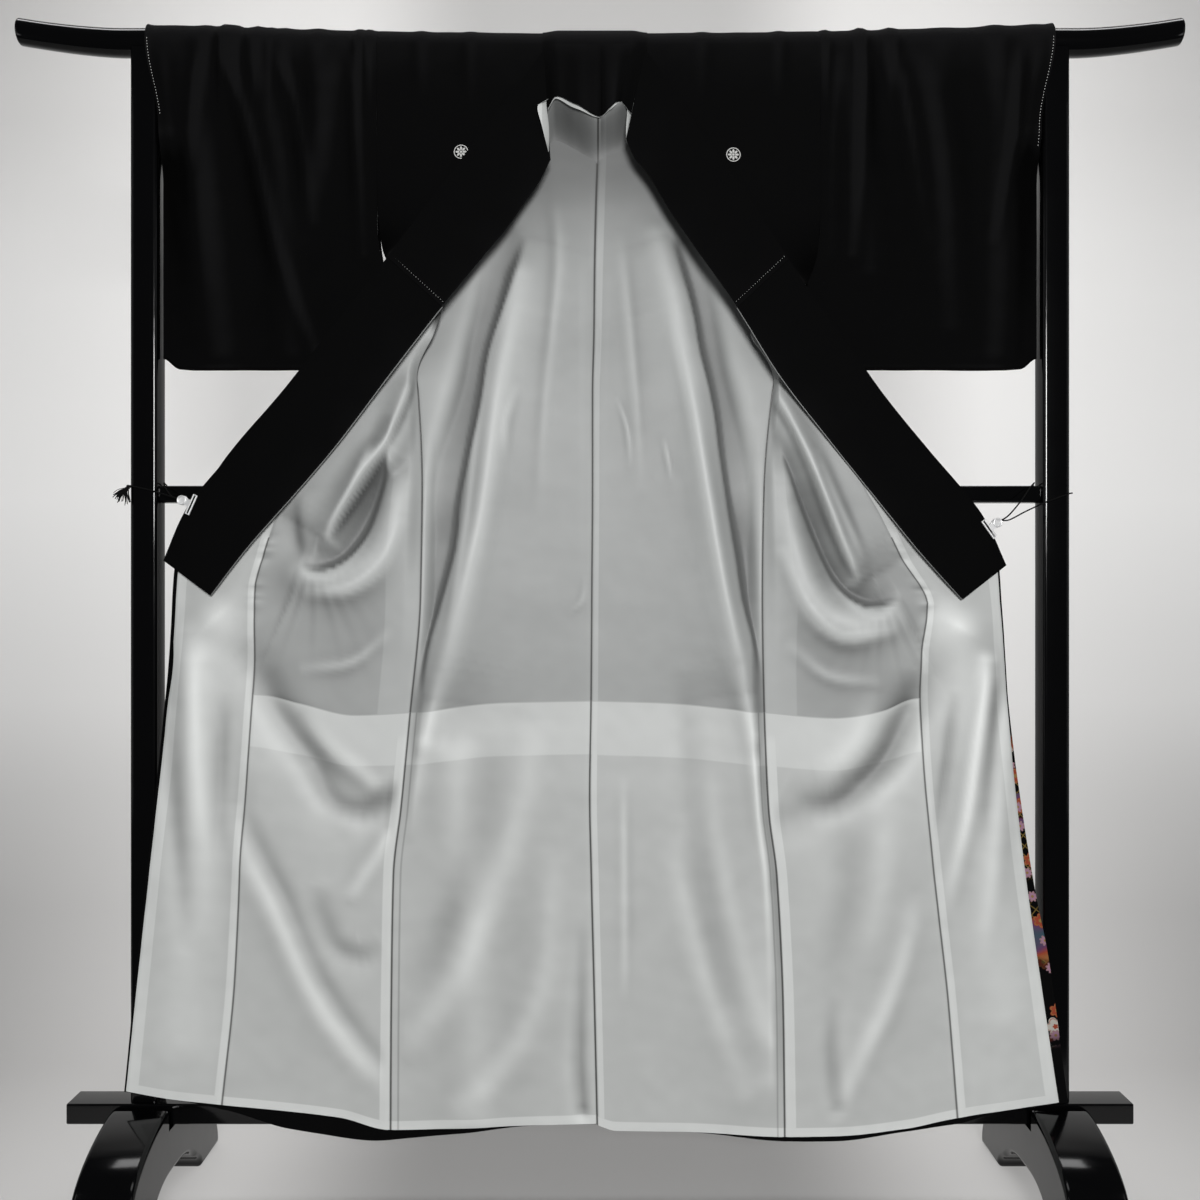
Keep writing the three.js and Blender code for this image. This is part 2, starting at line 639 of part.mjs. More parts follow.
function collar(side) {
  const end = collarStations[side].length - 1;
  const half = COLLAR / 2;
  solid(`over_collar_${side}`, wall(ribbon(side, 0, overCollarEnd, 1, 0, 1), -half, half), 'blackSilk');
  solid(`collar_${side}`, wall(ribbon(side, overCollarEnd, end, 0, 0, 1), -half, half), 'blackSilk');
  const behind = half + SEAM_GAP;
  const inner = ribbon(side, overCollarEnd, end, 0, 0.6, 1.02);
  solid(`inner_collar_${side}`, wall(inner, -behind - LINING, -behind), 'whiteSilk');
}

// The back of the neck: sewn just behind the rail's crest and hanging down its front.
function neck() {
  const radius = clothRadius + SHELL_TO + 1;
  const folds = [110, 90, 60, 30, 0].map((degrees) => THREE.MathUtils.degToRad(degrees));
  const falls = [0.33, 0.66, 1];
  const hang = 2.4;
  const pointAt = (row, station) => {
    const { top, low, free } = station;
    const level = rail.height + railRise(top);
    if (row < folds.length) {
      return vec(top, -radius * Math.cos(folds[row]), level + radius * Math.sin(folds[row]));
    }
    const down = falls[row - folds.length];
    return vec(lerp(top, low, down), -radius - hang * down, lerp(level, free, down));
  };
  const rows = [...folds, ...falls].map((_, k) => k);
  const grid = sheet(rows, neckline, (station, row) => pointAt(row, station), false);
  solid('over_collar_neck', wall(grid, 0, COLLAR), 'blackSilk');
}

// ---------------------------------------------------------------- stand

function roundedBox(width, depth, length, corner, steps = 3) {
  const [w, d] = [width / 2, depth / 2];
  const outline = new THREE.Shape();
  outline.moveTo(-w + corner, -d);
  outline.lineTo(w - corner, -d);
  outline.absarc(w - corner, -d + corner, corner, -Math.PI / 2, 0);
  outline.absarc(w - corner, d - corner, corner, 0, Math.PI / 2);
  outline.absarc(-w + corner, d - corner, corner, Math.PI / 2, Math.PI);
  outline.absarc(-w + corner, -d + corner, corner, Math.PI, Math.PI * 1.5);
  return new THREE.ExtrudeGeometry(outline, { depth: length, bevelEnabled: false, curveSegments: steps });
}

function loft(rings) {
  const width = rings[0].length;
  const points = rings.flat();
  const faces = [];
  for (let i = 0; i + 1 < rings.length; i += 1) {
    for (let j = 0; j < width; j += 1) {
      const a = i * width + j;
      const b = i * width + (j + 1) % width;
      faces.push(a, b, b + width, a, b + width, a + width);
    }
  }
  for (const turned of [true, false]) {
    const start = turned ? 0 : (rings.length - 1) * width;
    const ring = rings[start / width];
    const middle = ring.reduce((sum, p) => sum.add(p), vec()).divideScalar(width);
    points.push(middle);
    for (let j = 0; j < width; j += 1) {
      const pair = [start + j, start + (j + 1) % width];
      faces.push(...(turned ? pair.reverse() : pair), points.length - 1);
    }
  }
  return meshFrom(points, faces);
}

function topRail() {
  const sides = 20;
  const stations = table('x scale', [
    [-857, 0.8], [-854, 1], [-820, 1], [-780, 1], [-740, 1], [-700, 1], [-627, 1], [-420, 1], [-200, 1],
    [0, 1], [200, 1], [420, 1], [627, 1], [700, 1], [740, 1], [780, 1], [820, 1], [854, 1], [857, 0.8],
  ]);
  const rings = stations.map(({ x, scale }) => {
    const taper = smoothstep(Math.abs(x), post.x, rail.half);
    const radius = scale * lerp(rail.radius, rail.tipRadius, taper);
    return Array.from({ length: sides }, (_, k) => {
      const angle = 2 * Math.PI * (k + 0.5) / sides;
      return vec(x, radius * Math.cos(angle), rail.height + railRise(x) + radius * Math.sin(angle));
    });
  });
  solid('top_rail', loft(rings), 'lacquer');
}

function uprights() {
  const beamTop = beam.bottom + beam.thickness;
  for (const [name, sign] of [['post_left', -1], ['post_right', 1]]) {
    const blank = roundedBox(post.width, post.depth, post.top - beamTop - SEAM_GAP, post.corner);
    blank.translate(sign * post.x, 0, beamTop + SEAM_GAP);
    const clearance = rail.radius + SEAM_GAP + 0.2;
    const saddle = new THREE.CylinderGeometry(clearance, clearance, 120, 24);
    saddle.rotateZ(Math.PI / 2).translate(sign * post.x, 0, rail.height);
    solid(name, fromManifold(toManifold(blank).subtract(toManifold(saddle))), 'lacquer');
  }
  const length = 2 * (post.x - post.width / 2 - SEAM_GAP);
  const bar = roundedBox(midBar.size, midBar.size, length, midBar.corner);
  bar.rotateY(Math.PI / 2).translate(-length / 2, 0, midBar.bottom + midBar.size / 2);
  solid('mid_bar', bar, 'lacquer');
  const base = roundedBox(beam.thickness, beam.depth, 2 * beam.half, beam.corner, 2);
  base.rotateY(Math.PI / 2).translate(-beam.half, 0, beam.bottom + beam.thickness / 2);
  solid('base_beam', base, 'lacquer');
}

// An arched foot board: humped over the beam it is halved to, arched below, flat at its two tips.
function footOutline() {
  const notch = beam.depth / 2 + SEAM_GAP;
  const [pad, step] = [footArch.half + footArch.step, footArch.height];
  const shape = new THREE.Shape();
  shape.moveTo(notch, beam.bottom - SEAM_GAP);
  shape.lineTo(notch, foot.rise);
  shape.bezierCurveTo(notch + foot.shoulder, foot.rise, foot.half - 52, 128, foot.half - 26, 72);
  shape.bezierCurveTo(foot.half - 14, 48, foot.half, foot.tip, foot.half, 8);
  shape.lineTo(foot.half - 3, 0);
  shape.lineTo(pad, 0);
  shape.bezierCurveTo(pad - 4, 18, footArch.half + 8, 22, footArch.half, 30);
  shape.bezierCurveTo(60, step, 30, step, 0, step);
  shape.bezierCurveTo(-30, step, -60, step, -footArch.half, 30);
  shape.bezierCurveTo(-footArch.half - 8, 22, -pad + 4, 18, -pad, 0);
  shape.lineTo(-foot.half + 3, 0);
  shape.lineTo(-foot.half, 8);
  shape.bezierCurveTo(-foot.half, foot.tip, -foot.half + 14, 48, -foot.half + 26, 72);
  shape.bezierCurveTo(-foot.half + 52, 128, -notch - foot.shoulder, foot.rise, -notch, foot.rise);
  shape.lineTo(-notch, beam.bottom - SEAM_GAP);
  return shape;
}

function feet() {
  for (const [name, sign] of [['foot_left', -1], ['foot_right', 1]]) {
    const board = new THREE.ExtrudeGeometry(footOutline(), {
      depth: foot.width, bevelEnabled: false, curveSegments: 7,
    });
    board.rotateX(Math.PI / 2).rotateZ(Math.PI / 2).translate(sign * post.x - foot.width / 2, 0, 0);
    solid(name, board, 'lacquer');
  }
}

// ---------------------------------------------------------------- clips and cords

function bar(radius, length, sides = 8) {
  return toManifold(new THREE.CylinderGeometry(radius, radius, length, sides));
}

// A chrome bulldog clip in its own frame: lips along Y at the origin, pulled along -X, cloth normal Z.
function clipBody() {
  const { width, lip, mouth, roll, reach, eye, eyeWire, eyeReach } = clip;
  const open = mouth + lip;
  let body = bar(roll, width - 6, 12).translate([-reach, 0, 0]);
  for (const sign of [-1, 1]) {
    const plate = new THREE.BoxGeometry(reach, width - 2, 1.2);
    plate.rotateY(sign * Math.atan2(roll - open, reach) * -1);
    plate.translate(-reach / 2, 0, sign * ((open + roll) / 2));
    body = body.add(bar(lip, width).translate([0, 0, sign * open])).add(toManifold(plate));
  }
  const ring = new THREE.TorusGeometry(eye, eyeWire, 6, 14);
  return body.add(toManifold(ring).translate([-eyeReach, 0, 0]));
}

function clipsAndCords() {
  for (const side of ['left', 'right']) {
    const { bite, slide, pull } = clips[side];
    const [before, here, after] = ribbon(side, 8, 10, 0, 0, 1);
    const { point, normal } = here[0];
    const place = towards(point, here[2].point, bite);
    place.add(after[0].point.clone().sub(before[0].point).setLength(slide));
    const inward = vec(...pull).projectOnPlane(normal).normalize().negate();
    const lips = vec().crossVectors(normal, inward);
    const geometry = fromManifold(clipBody());
    geometry.applyMatrix4(new THREE.Matrix4().makeBasis(inward, lips, normal));
    geometry.translate(...place);
    solid(`clip_${side}`, geometry, 'chrome');
    const wire = place.clone().addScaledVector(inward, -clip.eyeReach - clip.eye);
    const clear = clip.eyeWire + cordRadius + SEAM_GAP;
    const route = [wire.clone().addScaledVector(normal, -clear), ...cords[side].map((p) => vec(...p))];
    route.push(wire.clone().addScaledVector(normal, clear));
    const path = new THREE.CatmullRomCurve3(route, false, 'centripetal');
    const circle = new THREE.Shape().absarc(0, 0, cordRadius, 0, 2 * Math.PI);
    const tube = new THREE.ExtrudeGeometry(circle, { steps: 36, curveSegments: 3, extrudePath: path });
    solid(`cord_${side}`, tube, 'cord');
  }
}

// The frayed end of the left cord: strands rooted in the knot at the post's outer corner.
function cordTail() {
  const at = vec(...tail.at);
  const head = new THREE.SphereGeometry(tail.head, 10, 7);
  head.scale(1, 0.8, 1.1).translate(...tail.at);
  let body = toManifold(head);
  for (let k = 0; k < tail.strands; k += 1) {
    const turn = k / (tail.strands - 1) - 0.5;
    const root = at.clone().add(vec(-1.5, 0.9 * Math.sin(k * 2.4), -turn * 5));
    const reach = tail.length * (1 - turn * turn);
    const end = root.clone().add(vec(-reach, -3 * Math.sin(k * 2.4), -3 - turn * 12));
    const middle = root.clone().lerp(end, 0.5).add(vec(0, -2 * Math.cos(k * 1.7), 2));
    const circle = new THREE.Shape().absarc(0, 0, tail.radius, 0, 2 * Math.PI);
    const path = new THREE.CatmullRomCurve3([root, middle, end]);
    const strand = new THREE.ExtrudeGeometry(circle, { steps: 3, curveSegments: 2, extrudePath: path });
    body = body.add(toManifold(strand));
  }
  solid('cord_tail', fromManifold(body.simplify(0.01)), 'cord');
}

// ---------------------------------------------------------------- the whole object

topRail();
uprights();
feet();
for (const side of ['left', 'right']) {
  body(side);
  sleeves(side);
  collar(side);
}
neck();
clipsAndCords();
cordTail();

export default group;
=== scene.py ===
"""Kurotomesode kimono hung wide open on a lacquered kimono stand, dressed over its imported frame."""

import math
import random

import bmesh
import bpy
import numpy as np
from mathutils import Matrix, Vector, noise


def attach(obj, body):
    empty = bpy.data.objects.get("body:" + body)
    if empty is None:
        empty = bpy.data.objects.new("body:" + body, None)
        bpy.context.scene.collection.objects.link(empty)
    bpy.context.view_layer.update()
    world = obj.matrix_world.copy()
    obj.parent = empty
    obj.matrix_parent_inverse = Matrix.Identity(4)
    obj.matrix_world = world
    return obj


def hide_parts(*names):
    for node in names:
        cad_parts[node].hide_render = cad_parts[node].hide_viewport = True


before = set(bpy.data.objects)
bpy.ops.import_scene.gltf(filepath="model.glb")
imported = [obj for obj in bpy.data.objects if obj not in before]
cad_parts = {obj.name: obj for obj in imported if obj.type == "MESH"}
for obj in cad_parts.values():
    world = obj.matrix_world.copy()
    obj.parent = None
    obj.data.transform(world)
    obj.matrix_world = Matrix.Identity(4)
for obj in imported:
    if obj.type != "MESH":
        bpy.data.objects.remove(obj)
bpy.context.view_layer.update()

bl_info = {
    "name": "Kimono on a stand",
    "version": (1, 0, 0),
    "blender": (4, 5, 0),
    "location": "3D View > Sidebar > Kimono",
    "description": "Dresses the packed frame of a formal kimono on its stand",
    "category": "Object",
}

# ---------------------------------------------------------------- sizes, in millimetres
# +X is the viewer's right, the open front faces -Y, "out" runs from the middle outwards.

MM = 0.001
RAIL_RADIUS, TIP_RADIUS = 21.0, 19.5
RAIL_HEIGHT, RAIL_HALF = 1712.0, 857.0
RAIL_SAG, RAIL_SWEEP, SWEEP_FROM, SWEEP_CURVE = 12.0, 17.0, 700.0, 1.6
POST_X, POST_WIDTH, POST_CORNER, POST_TOP = 667.5, 40.0, 6.0, 1700.0
BAR_BOTTOM, BAR_SIZE, BAR_CORNER = 1033.0, 25.0, 5.0
BEAM_HALF, BEAM_DEPTH, BEAM_BOTTOM, BEAM_THICKNESS = 778.0, 52.0, 125.5, 30.0
FOOT_HALF, FOOT_WIDTH, FOOT_RISE, FOOT_SHOULDER, FOOT_TIP = 215.0, 84.0, 150.0, 34.0, 30.0
ARCH_HALF, ARCH_STEP, ARCH_HEIGHT = 91.0, 32.0, 54.0

GAP = 0.3  # between solids that touch

CLOTH_RADIUS = RAIL_RADIUS + 1.5
SHELL_AT = 1.8  # from the surface of the lining to the inner face of the shell
UNDERARM, JOIN, HEM = 1190.0, 741.0, 125.0
SHOULDER = RAIL_HEIGHT + CLOTH_RADIUS * math.pi / 2
OVERLAP_TIP, FRONT_LINING_TOP = 1278.0, 1375.0
RISE_FROM, RISE_TO = 1400.0, 1640.0  # the cloth takes on the rail's curve between these heights
TUCK_FROM = 1590.0
CUFF_OPENING, CUFF_RISE, CUFF_END, CUFF_FLARE = 1500.0, 80.0, 644.0, 20.0
SLEEVE_BOTTOM, SLEEVE_HANG, SLEEVE_CORNER = 1234.0, 4.0, 24.0
SLEEVE_TUCK_FROM = 1560.0
BACK_WIDTH, FRONT_WIDTH, OVERLAP_WIDTH, SLEEVE_WIDTH = 300.0, 240.0, 150.0, 340.0
COLLAR_WIDTH, COLLAR_HALF = 104, 1.4
OVER_COLLAR_END, COLLAR_END = 5, 10  # stations of the collar

# Grids of the cloth: places across each panel, and rows over the rail, above the join and below it.
COLUMNS = {"back": 84, "front": 72, "overlap": 36, "sleeve": 54}
RAIL_ROWS, UPPER_ROWS, LOWER_ROWS = 10, 172, 78

# ---------------------------------------------------------------- shape helpers


def table(names, rows):
    """Rows of numbers as named columns, sorted by the first."""
    keys = names.split()
    rows = sorted(rows, key=lambda row: row[0])
    columns = {key: np.array([float(row[k]) for row in rows]) for k, key in enumerate(keys)}
    columns["by"] = columns[keys[0]]
    return columns


def along(lines, name, place):
    """A table's column at some places, on a smooth curve that never overshoots its rows."""
    at, value = lines["by"], lines[name]
    place = np.clip(np.asarray(place, float), at[0], at[-1])
    slope = np.diff(value) / np.diff(at)
    tangent = np.empty_like(value)
    tangent[0], tangent[-1] = slope[0], slope[-1]
    product, total = slope[:-1] * slope[1:], slope[:-1] + slope[1:]
    safe = np.where(product > 0, total, 1)
    tangent[1:-1] = np.where(product > 0, 2 * product / safe, 0)
    k = np.clip(np.searchsorted(at, place), 1, len(at) - 1)
    span = at[k] - at[k - 1]
    t = (place - at[k - 1]) / span
    tt, ttt = t * t, t**3
    return (
        (2 * ttt - 3 * tt + 1) * value[k - 1]
        + (ttt - 2 * tt + t) * span * tangent[k - 1]
        + (3 * tt - 2 * ttt) * value[k]
        + (ttt - tt) * span * tangent[k]
    )


def smooth(value, low, high):
    """0 below low, 1 above high, and a soft step between them."""
    t = np.clip((np.asarray(value, float) - low) / (high - low), 0, 1)
    return t * t * (3 - 2 * t)


def lerp(a, b, t):
    """What lies a share t of the way from a to b."""
    return a + (b - a) * t


def smooth_line(points, count):
    """A soft line through some points."""
    points = np.asarray(points, float)
    steps = np.linspace(0, len(points) - 1, count)
    k = np.clip(steps.astype(int), 0, len(points) - 2)
    t = (steps - k)[:, None]
    padded = np.concatenate([2 * points[:1] - points[1:2], points, 2 * points[-1:] - points[-2:-1]])
    a, b, c, d = padded[k], padded[k + 1], padded[k + 2], padded[k + 3]
    return 0.5 * (2 * b + (c - a) * t + (2 * a - 5 * b + 4 * c - d) * t**2 + (3 * b - a - 3 * c + d) * t**3)


LINE_STEPS = 4  # straight parts between two places of a crease's line
HIGH_SIDE = 3.2  # a fall's high side fades over this many times its reach


def nearest_on(line, out, z):
    """For some places: the distance to a line, the same signed by side, and the line's value there."""
    line = smooth_line(line, LINE_STEPS * (len(line) - 1) + 1)
    shape = np.broadcast(out, z).shape
    nearest, beyond, value = np.full(shape, np.inf), np.zeros(shape), np.zeros(shape)
    for (out_a, z_a, value_a), (out_b, z_b, value_b) in zip(line, line[1:]):
        along_out, along_z = out_b - out_a, z_b - z_a
        length = math.hypot(along_out, along_z)
        t = np.clip(((out - out_a) * along_out + (z - z_a) * along_z) / length**2, 0, 1)
        away = np.hypot(out - lerp(out_a, out_b, t), z - lerp(z_a, z_b, t))
        side = (along_out * (z - z_a) - along_z * (out - out_a)) / length
        closer = away < nearest
        nearest = np.where(closer, away, nearest)
        beyond = np.where(closer, np.sign(side) * away, beyond)
        value = np.where(closer, lerp(value_a, value_b, t), value)
    return nearest, beyond, value


def lift(creases, out, z):
    """How far a list of creases brings the cloth forward at some places."""
    total = np.zeros(np.broadcast(out, z).shape)
    for width, line in creases:
        nearest, _, forward = nearest_on(line, out, z)
        total += forward * np.exp(-((nearest / width) ** 2))
    return total


def fall(creases, out, z):
    """How far steep falls move the cloth forward at some places: up on one side, back on the other."""
    total = np.zeros(np.broadcast(out, z).shape)
    for width, reach, line in creases:
        nearest, beyond, height = nearest_on(line, out, z)
        fade = np.where(beyond * np.sign(height) < 0, HIGH_SIDE * reach, reach)
        total -= height * np.tanh(beyond / width) * np.exp(-((nearest / fade) ** 2))
    return total


def rail_rise(x):
    """The rail's curve: how far it stands above its own height at some places along it."""
    t = np.abs(x) / (POST_X - POST_WIDTH)
    sweep = np.clip((np.abs(x) - SWEEP_FROM) / (RAIL_HALF - SWEEP_FROM), 0, None) ** SWEEP_CURVE
    return np.where(t < 1, -RAIL_SAG * (1 - t * t), RAIL_SWEEP * sweep)


def ripple(points, size, seed, height):
    """Soft unevenness at some points, in millimetres."""
    flat = points.reshape(-1, 3) / size
    shift = Vector((seed * 7.3, seed * 3.1, seed * 1.7))
    values = [noise.noise(Vector(p) + shift) for p in flat.tolist()]
    return np.array(values).reshape(points.shape[:-1]) * height


def spread(start, end, count, crowd=0.0):
    """Places from start to end, closer together at both ends as crowd goes from 0 to 1."""
    t = np.linspace(0, 1, count)
    return lerp(start, end, lerp(t, (1 - np.cos(math.pi * t)) / 2, crowd))


def place_on(points):
    """A grid of points from x, y and z, each a number or an array."""
    x, y, z = np.broadcast_arrays(*points)
    return np.stack([x, y, z], axis=-1).astype(float)


def side_x(side, out):
    """X of a place so far out from the middle."""
    return -out if side == "left" else out


def bumps(x, places):
    """The height of some soft bumps: where each is, how high and how wide."""
    return sum(height * np.exp(-(((x - at) / width) ** 2)) for at, height, width in places)


def facing(points, y):
    """Normals that all point forwards (-1) or backwards (1)."""
    return np.broadcast_to(np.array([0.0, y, 0.0]), points.shape)


def headings(points, closed=False):
    """The unit direction of a line at each of its points."""
    if closed:
        way = np.roll(points, -1, axis=0) - np.roll(points, 1, axis=0)
    else:
        way = np.gradient(points, axis=0)
    return way / np.linalg.norm(way, axis=1, keepdims=True)


def cloth_normals(points, turned, ring=False):
    """The normals of a grid of points, on the side that the shell lies on."""
    if ring:
        across = np.roll(points, -1, axis=1) - np.roll(points, 1, axis=1)
    else:
        across = np.gradient(points, axis=1)
    down = np.gradient(points, axis=0)
    normals = np.cross(across, -down)
    length = np.linalg.norm(normals, axis=2, keepdims=True)
    normals = normals / np.where(length > 1e-9, length, 1)
    return -normals if turned else normals


# ---------------------------------------------------------------- meshes


def finished(mesh, name, look):
    """A mesh as a piece of the object, in its finish."""
    piece = bpy.data.objects.new(name, mesh)
    bpy.context.scene.collection.objects.link(piece)
    mesh.materials.append(look)
    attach(piece, "root")
    return piece


def stand_for(piece, node):
    """Hides the imported solid that a piece stands for."""
    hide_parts(node)


def blurred(values, reach):
    """A grid of numbers averaged over so many neighbours on each side, twice along both ways."""
    mean = values
    for axis in (0, 1, 0, 1):
        near = min(reach, mean.shape[axis] // 3)
        pad = [(near, near) if k == axis else (0, 0) for k in (0, 1)]
        first = [(1, 0) if k == axis else (0, 0) for k in (0, 1)]
        sums = np.cumsum(np.pad(np.pad(mean, pad, mode="edge"), first), axis)
        span = 2 * near + 1
        ends = tuple(slice(span, None) if k == axis else slice(None) for k in (0, 1))
        starts = tuple(slice(None, -span) if k == axis else slice(None) for k in (0, 1))
        mean = (sums[ends] - sums[starts]) / span
    return mean


# The relief map paints shade and light into the cloth's colour: broad crests and fine creases (reach in
# places of the grid, height in millimetres) lighter and hollows darker, and faces turned in or up lighter as
# if lit from the middle and above, less so low down.
BROAD_REACH, BROAD_HEIGHT, BROAD_SHARE = 12, 14, 0.4
FINE_REACH, FINE_HEIGHT = 1, 5
TURNED_SHARE, TURNED_LIMITS, UPWARD_SHARE = 0.5, (-0.9, 0.35), 0.45
LOW_SHARE, LOW_BELOW, HIGH_ABOVE = 0.35, 600, 900


def relief_shading(points, normals):
    """Painted shade and light from how the silk's face stands: 0 in a hollow or turned away, 1 on a crest,
    0.5 where it is flat.
    """
    forward = -points[..., 1]
    face = -normals * np.where(normals[..., 1:2] < 0, -1, 1)
    turned_in = -np.sign(points[..., 0]) * face[..., 0] + UPWARD_SHARE * face[..., 2]
    turned_share = TURNED_SHARE * lerp(LOW_SHARE, 1, smooth(points[..., 2], LOW_BELOW, HIGH_ABOVE))
    crest = BROAD_SHARE * np.tanh((forward - blurred(forward, BROAD_REACH)) / BROAD_HEIGHT)
    crest += (forward - blurred(forward, FINE_REACH)) / FINE_HEIGHT
    return np.clip(0.5 + crest + turned_share * np.clip(turned_in, *TURNED_LIMITS), 0, 1)


def mesh_of(name, points, faces, sharp=None, uv=None):
    """A smooth mesh from points in millimetres, with some edges kept sharp and maps of numbers by vertex."""
    mesh = bpy.data.meshes.new(name)
    mesh.from_pydata((np.asarray(points) * MM).tolist(), [], [tuple(f) for f in faces])
    mesh.shade_smooth()
    if sharp is not None:
        ends = np.empty(len(mesh.edges) * 2, int)
        mesh.edges.foreach_get("vertices", ends)
        ends = np.sort(ends.reshape(-1, 2), axis=1)
        keys = ends[:, 0] * len(points) + ends[:, 1]
        kept = np.isin(keys, np.sort(sharp, axis=1) @ np.array([len(points), 1]))
        mesh.attributes.new("sharp_edge", "BOOLEAN", "EDGE").data.foreach_set("value", kept)
    if uv is not None:
        corners = np.empty(len(mesh.loops), int)
        mesh.loops.foreach_get("vertex_index", corners)
        for layer_name, values in uv.items():
            layer = mesh.uv_layers.new(name=layer_name)
            layer.data.foreach_set("uv", values[corners].astype(np.float32).ravel())
    mesh.update()
    return mesh


def cloth(name, points, normals, near, far, flat, look, turned, ring=False):
    """A closed thin cloth between two distances from a grid of points. flat is their place on the cut."""
    height, width = points.shape[:2]
    count = height * width
    both = np.concatenate([(points + normals * far).reshape(-1, 3), (points + normals * near).reshape(-1, 3)])
    index = np.arange(count).reshape(height, width)
    next_column = np.roll(index, -1, axis=1) if ring else index[:, 1:]
    this_column = index if ring else index[:, :-1]
    a, b = this_column[:-1].ravel(), next_column[:-1].ravel()
    c, d = next_column[1:].ravel(), this_column[1:].ravel()
    outer = np.stack([a, d, c, b], axis=1)
    faces = [outer, outer[:, ::-1] + count]
    rims = [(this_column[0], next_column[0]), (next_column[-1], this_column[-1])]
    if not ring:
        rims += [(index[1:, 0], index[:-1, 0]), (index[:-1, -1], index[1:, -1])]
    rims = np.concatenate([np.stack(pair, 1) for pair in rims])
    faces.append(np.stack([rims[:, 0], rims[:, 1], rims[:, 1] + count, rims[:, 0] + count], 1))
    faces = np.concatenate(faces)
    if turned:
        faces = faces[:, ::-1]
    cut = np.concatenate([flat.reshape(-1, 2)] * 2) * MM
    # The relief map of painted shade and light, kept by vertex for the finishes.
    relief = np.tile(relief_shading(points, normals).ravel(), 2)
    uv = {"cloth": cut, "relief": np.stack([relief, relief], axis=1)}
    mesh = mesh_of(name, both, faces, np.concatenate([rims, rims + count]), uv)
    return finished(mesh, name, look)


def declare(piece, width, length, node):
    """Hides the solid that a piece of cloth stands for."""
    width * MM
    length * MM
    stand_for(piece, node)


# ---------------------------------------------------------------- tables

# Back panels: the centre seam and the side seam by height, and how far each lies from the middle plane.
BACK_LINES = {
  "left": table("h centre centreY side sideY", [
    [1712, 6, 22.2, 326, 22.2],
    [1600, 3, 17, 326, 18],
    [1480, 6, 6, 326, 12],
    [1380, 8, -2, 308, 6],
    [1280, 9, -10, 284, -4],
    [1190, 11, -20, 266, -17],
    [1050, 11, -28, 259, -26],
    [900, 12, -31, 261, -29],
    [741, 13, -32, 276, -30],
    [600, 15, -33, 289, -32],
    [500, 13, -33, 300, -33],
    [300, 8, -34, 303, -34],
    [125, 4, -34, 304, -34],
  ]),
  "right": table("h centre centreY side sideY", [
    [1712, -6, 22.2, 322, 22.2],
    [1600, -3, 17, 322, 18],
    [1480, -6, 6, 320, 12],
    [1380, -8, -2, 300, 6],
    [1280, -9, -10, 272, -4],
    [1190, -11, -20, 252, -17],
    [1050, -11, -28, 239, -26],
    [900, -12, -31, 236, -29],
    [741, -13, -32, 239, -30],
    [600, -15, -33, 245, -32],
    [500, -13, -33, 257, -33],
    [300, -8, -34, 266, -34],
    [125, -4, -34, 268, -34],
  ]),
}
# Fronts: overlap seam and front edge. Above the overlap's tip the two are one.
FRONT_LINES = {
  "left": table("h overlap overlapY edge edgeY", [
    [1712, 80, -22.2, 80, -22.2],
    [1684, 84, -23, 84, -23],
    [1643, 116, -25, 116, -25],
    [1600, 149, -27, 149, -27],
    [1530, 200, -29.7, 200, -29.7],
    [1470, 245, -32.7, 245, -32.7],
    [1408, 289, -36.5, 289, -36.5],
    [1375, 314, -38.5, 314, -38.5],
    [1340, 341, -40, 341, -40],
    [1311, 362, -41, 364, -41],
    [1278, 374, -41.5, 389, -41.7],
    [1240, 388, -42, 418, -42.5],
    [1190, 407, -43, 457, -43.5],
    [1100, 440, -43, 533, -42.5],
    [1050, 457, -42, 568, -40],
    [1020, 466, -41, 592, -37.5],
    [950, 488, -40, 609, -37],
    [900, 500, -38, 614, -36],
    [800, 502, -36, 619, -35],
    [700, 507, -35, 629, -34],
    [500, 521, -34, 650, -34],
    [300, 531, -34, 671, -34],
    [125, 549, -34, 688, -34],
  ]),
  "right": table("h overlap overlapY edge edgeY", [
    [1712, 66, -22.2, 66, -22.2],
    [1684, 72, -23, 72, -23],
    [1643, 100, -25, 100, -25],
    [1600, 125, -27, 125, -27],
    [1530, 175, -29.7, 175, -29.7],
    [1470, 216, -32.7, 216, -32.7],
    [1408, 255, -36.5, 255, -36.5],
    [1360, 285, -39.5, 285, -39.5],
    [1330, 305, -40.5, 305, -40.5],
    [1300, 326, -41, 328, -41.5],
    [1278, 332, -41.5, 343, -42],
    [1240, 334, -42, 370, -42.5],
    [1190, 337, -43, 405, -43.5],
    [1100, 362, -43, 478, -42.5],
    [1050, 382, -42, 520, -40],
    [1020, 400, -41, 540, -37.5],
    [950, 436, -40, 574, -37],
    [880, 474, -38, 580, -36],
    [800, 466, -36, 586, -35],
    [700, 467, -35, 593, -34],
    [500, 483, -34, 614, -34],
    [300, 505, -34, 641, -34],
    [125, 519, -34, 666, -34],
  ]),
}
# Fronts' side edges down to the underarm; below it they share the back's side seam.
FRONT_SIDES = {
  "left": table("h side sideY", [
    [1712, 326, -22.2], [1684, 326, -22.2], [1643, 326, -21.8], [1600, 326, -20.5],
    [1530, 326, -19.5], [1470, 325, -18], [1408, 318, -15], [1375, 302, -13],
    [1340, 262, -17], [1311, 232, -24], [1278, 241, -28], [1240, 252, -28],
    [1190, 266, -20.5],
  ]),
  "right": table("h side sideY", [
    [1712, 322, -22.2], [1684, 322, -22.2], [1643, 322, -21.8], [1600, 322, -20.5],
    [1530, 322, -19.5], [1470, 322, -18], [1408, 319, -15], [1360, 305, -13],
    [1330, 272, -15], [1300, 226, -23], [1278, 218, -28], [1240, 230, -28],
    [1190, 252, -20.5],
  ]),
}
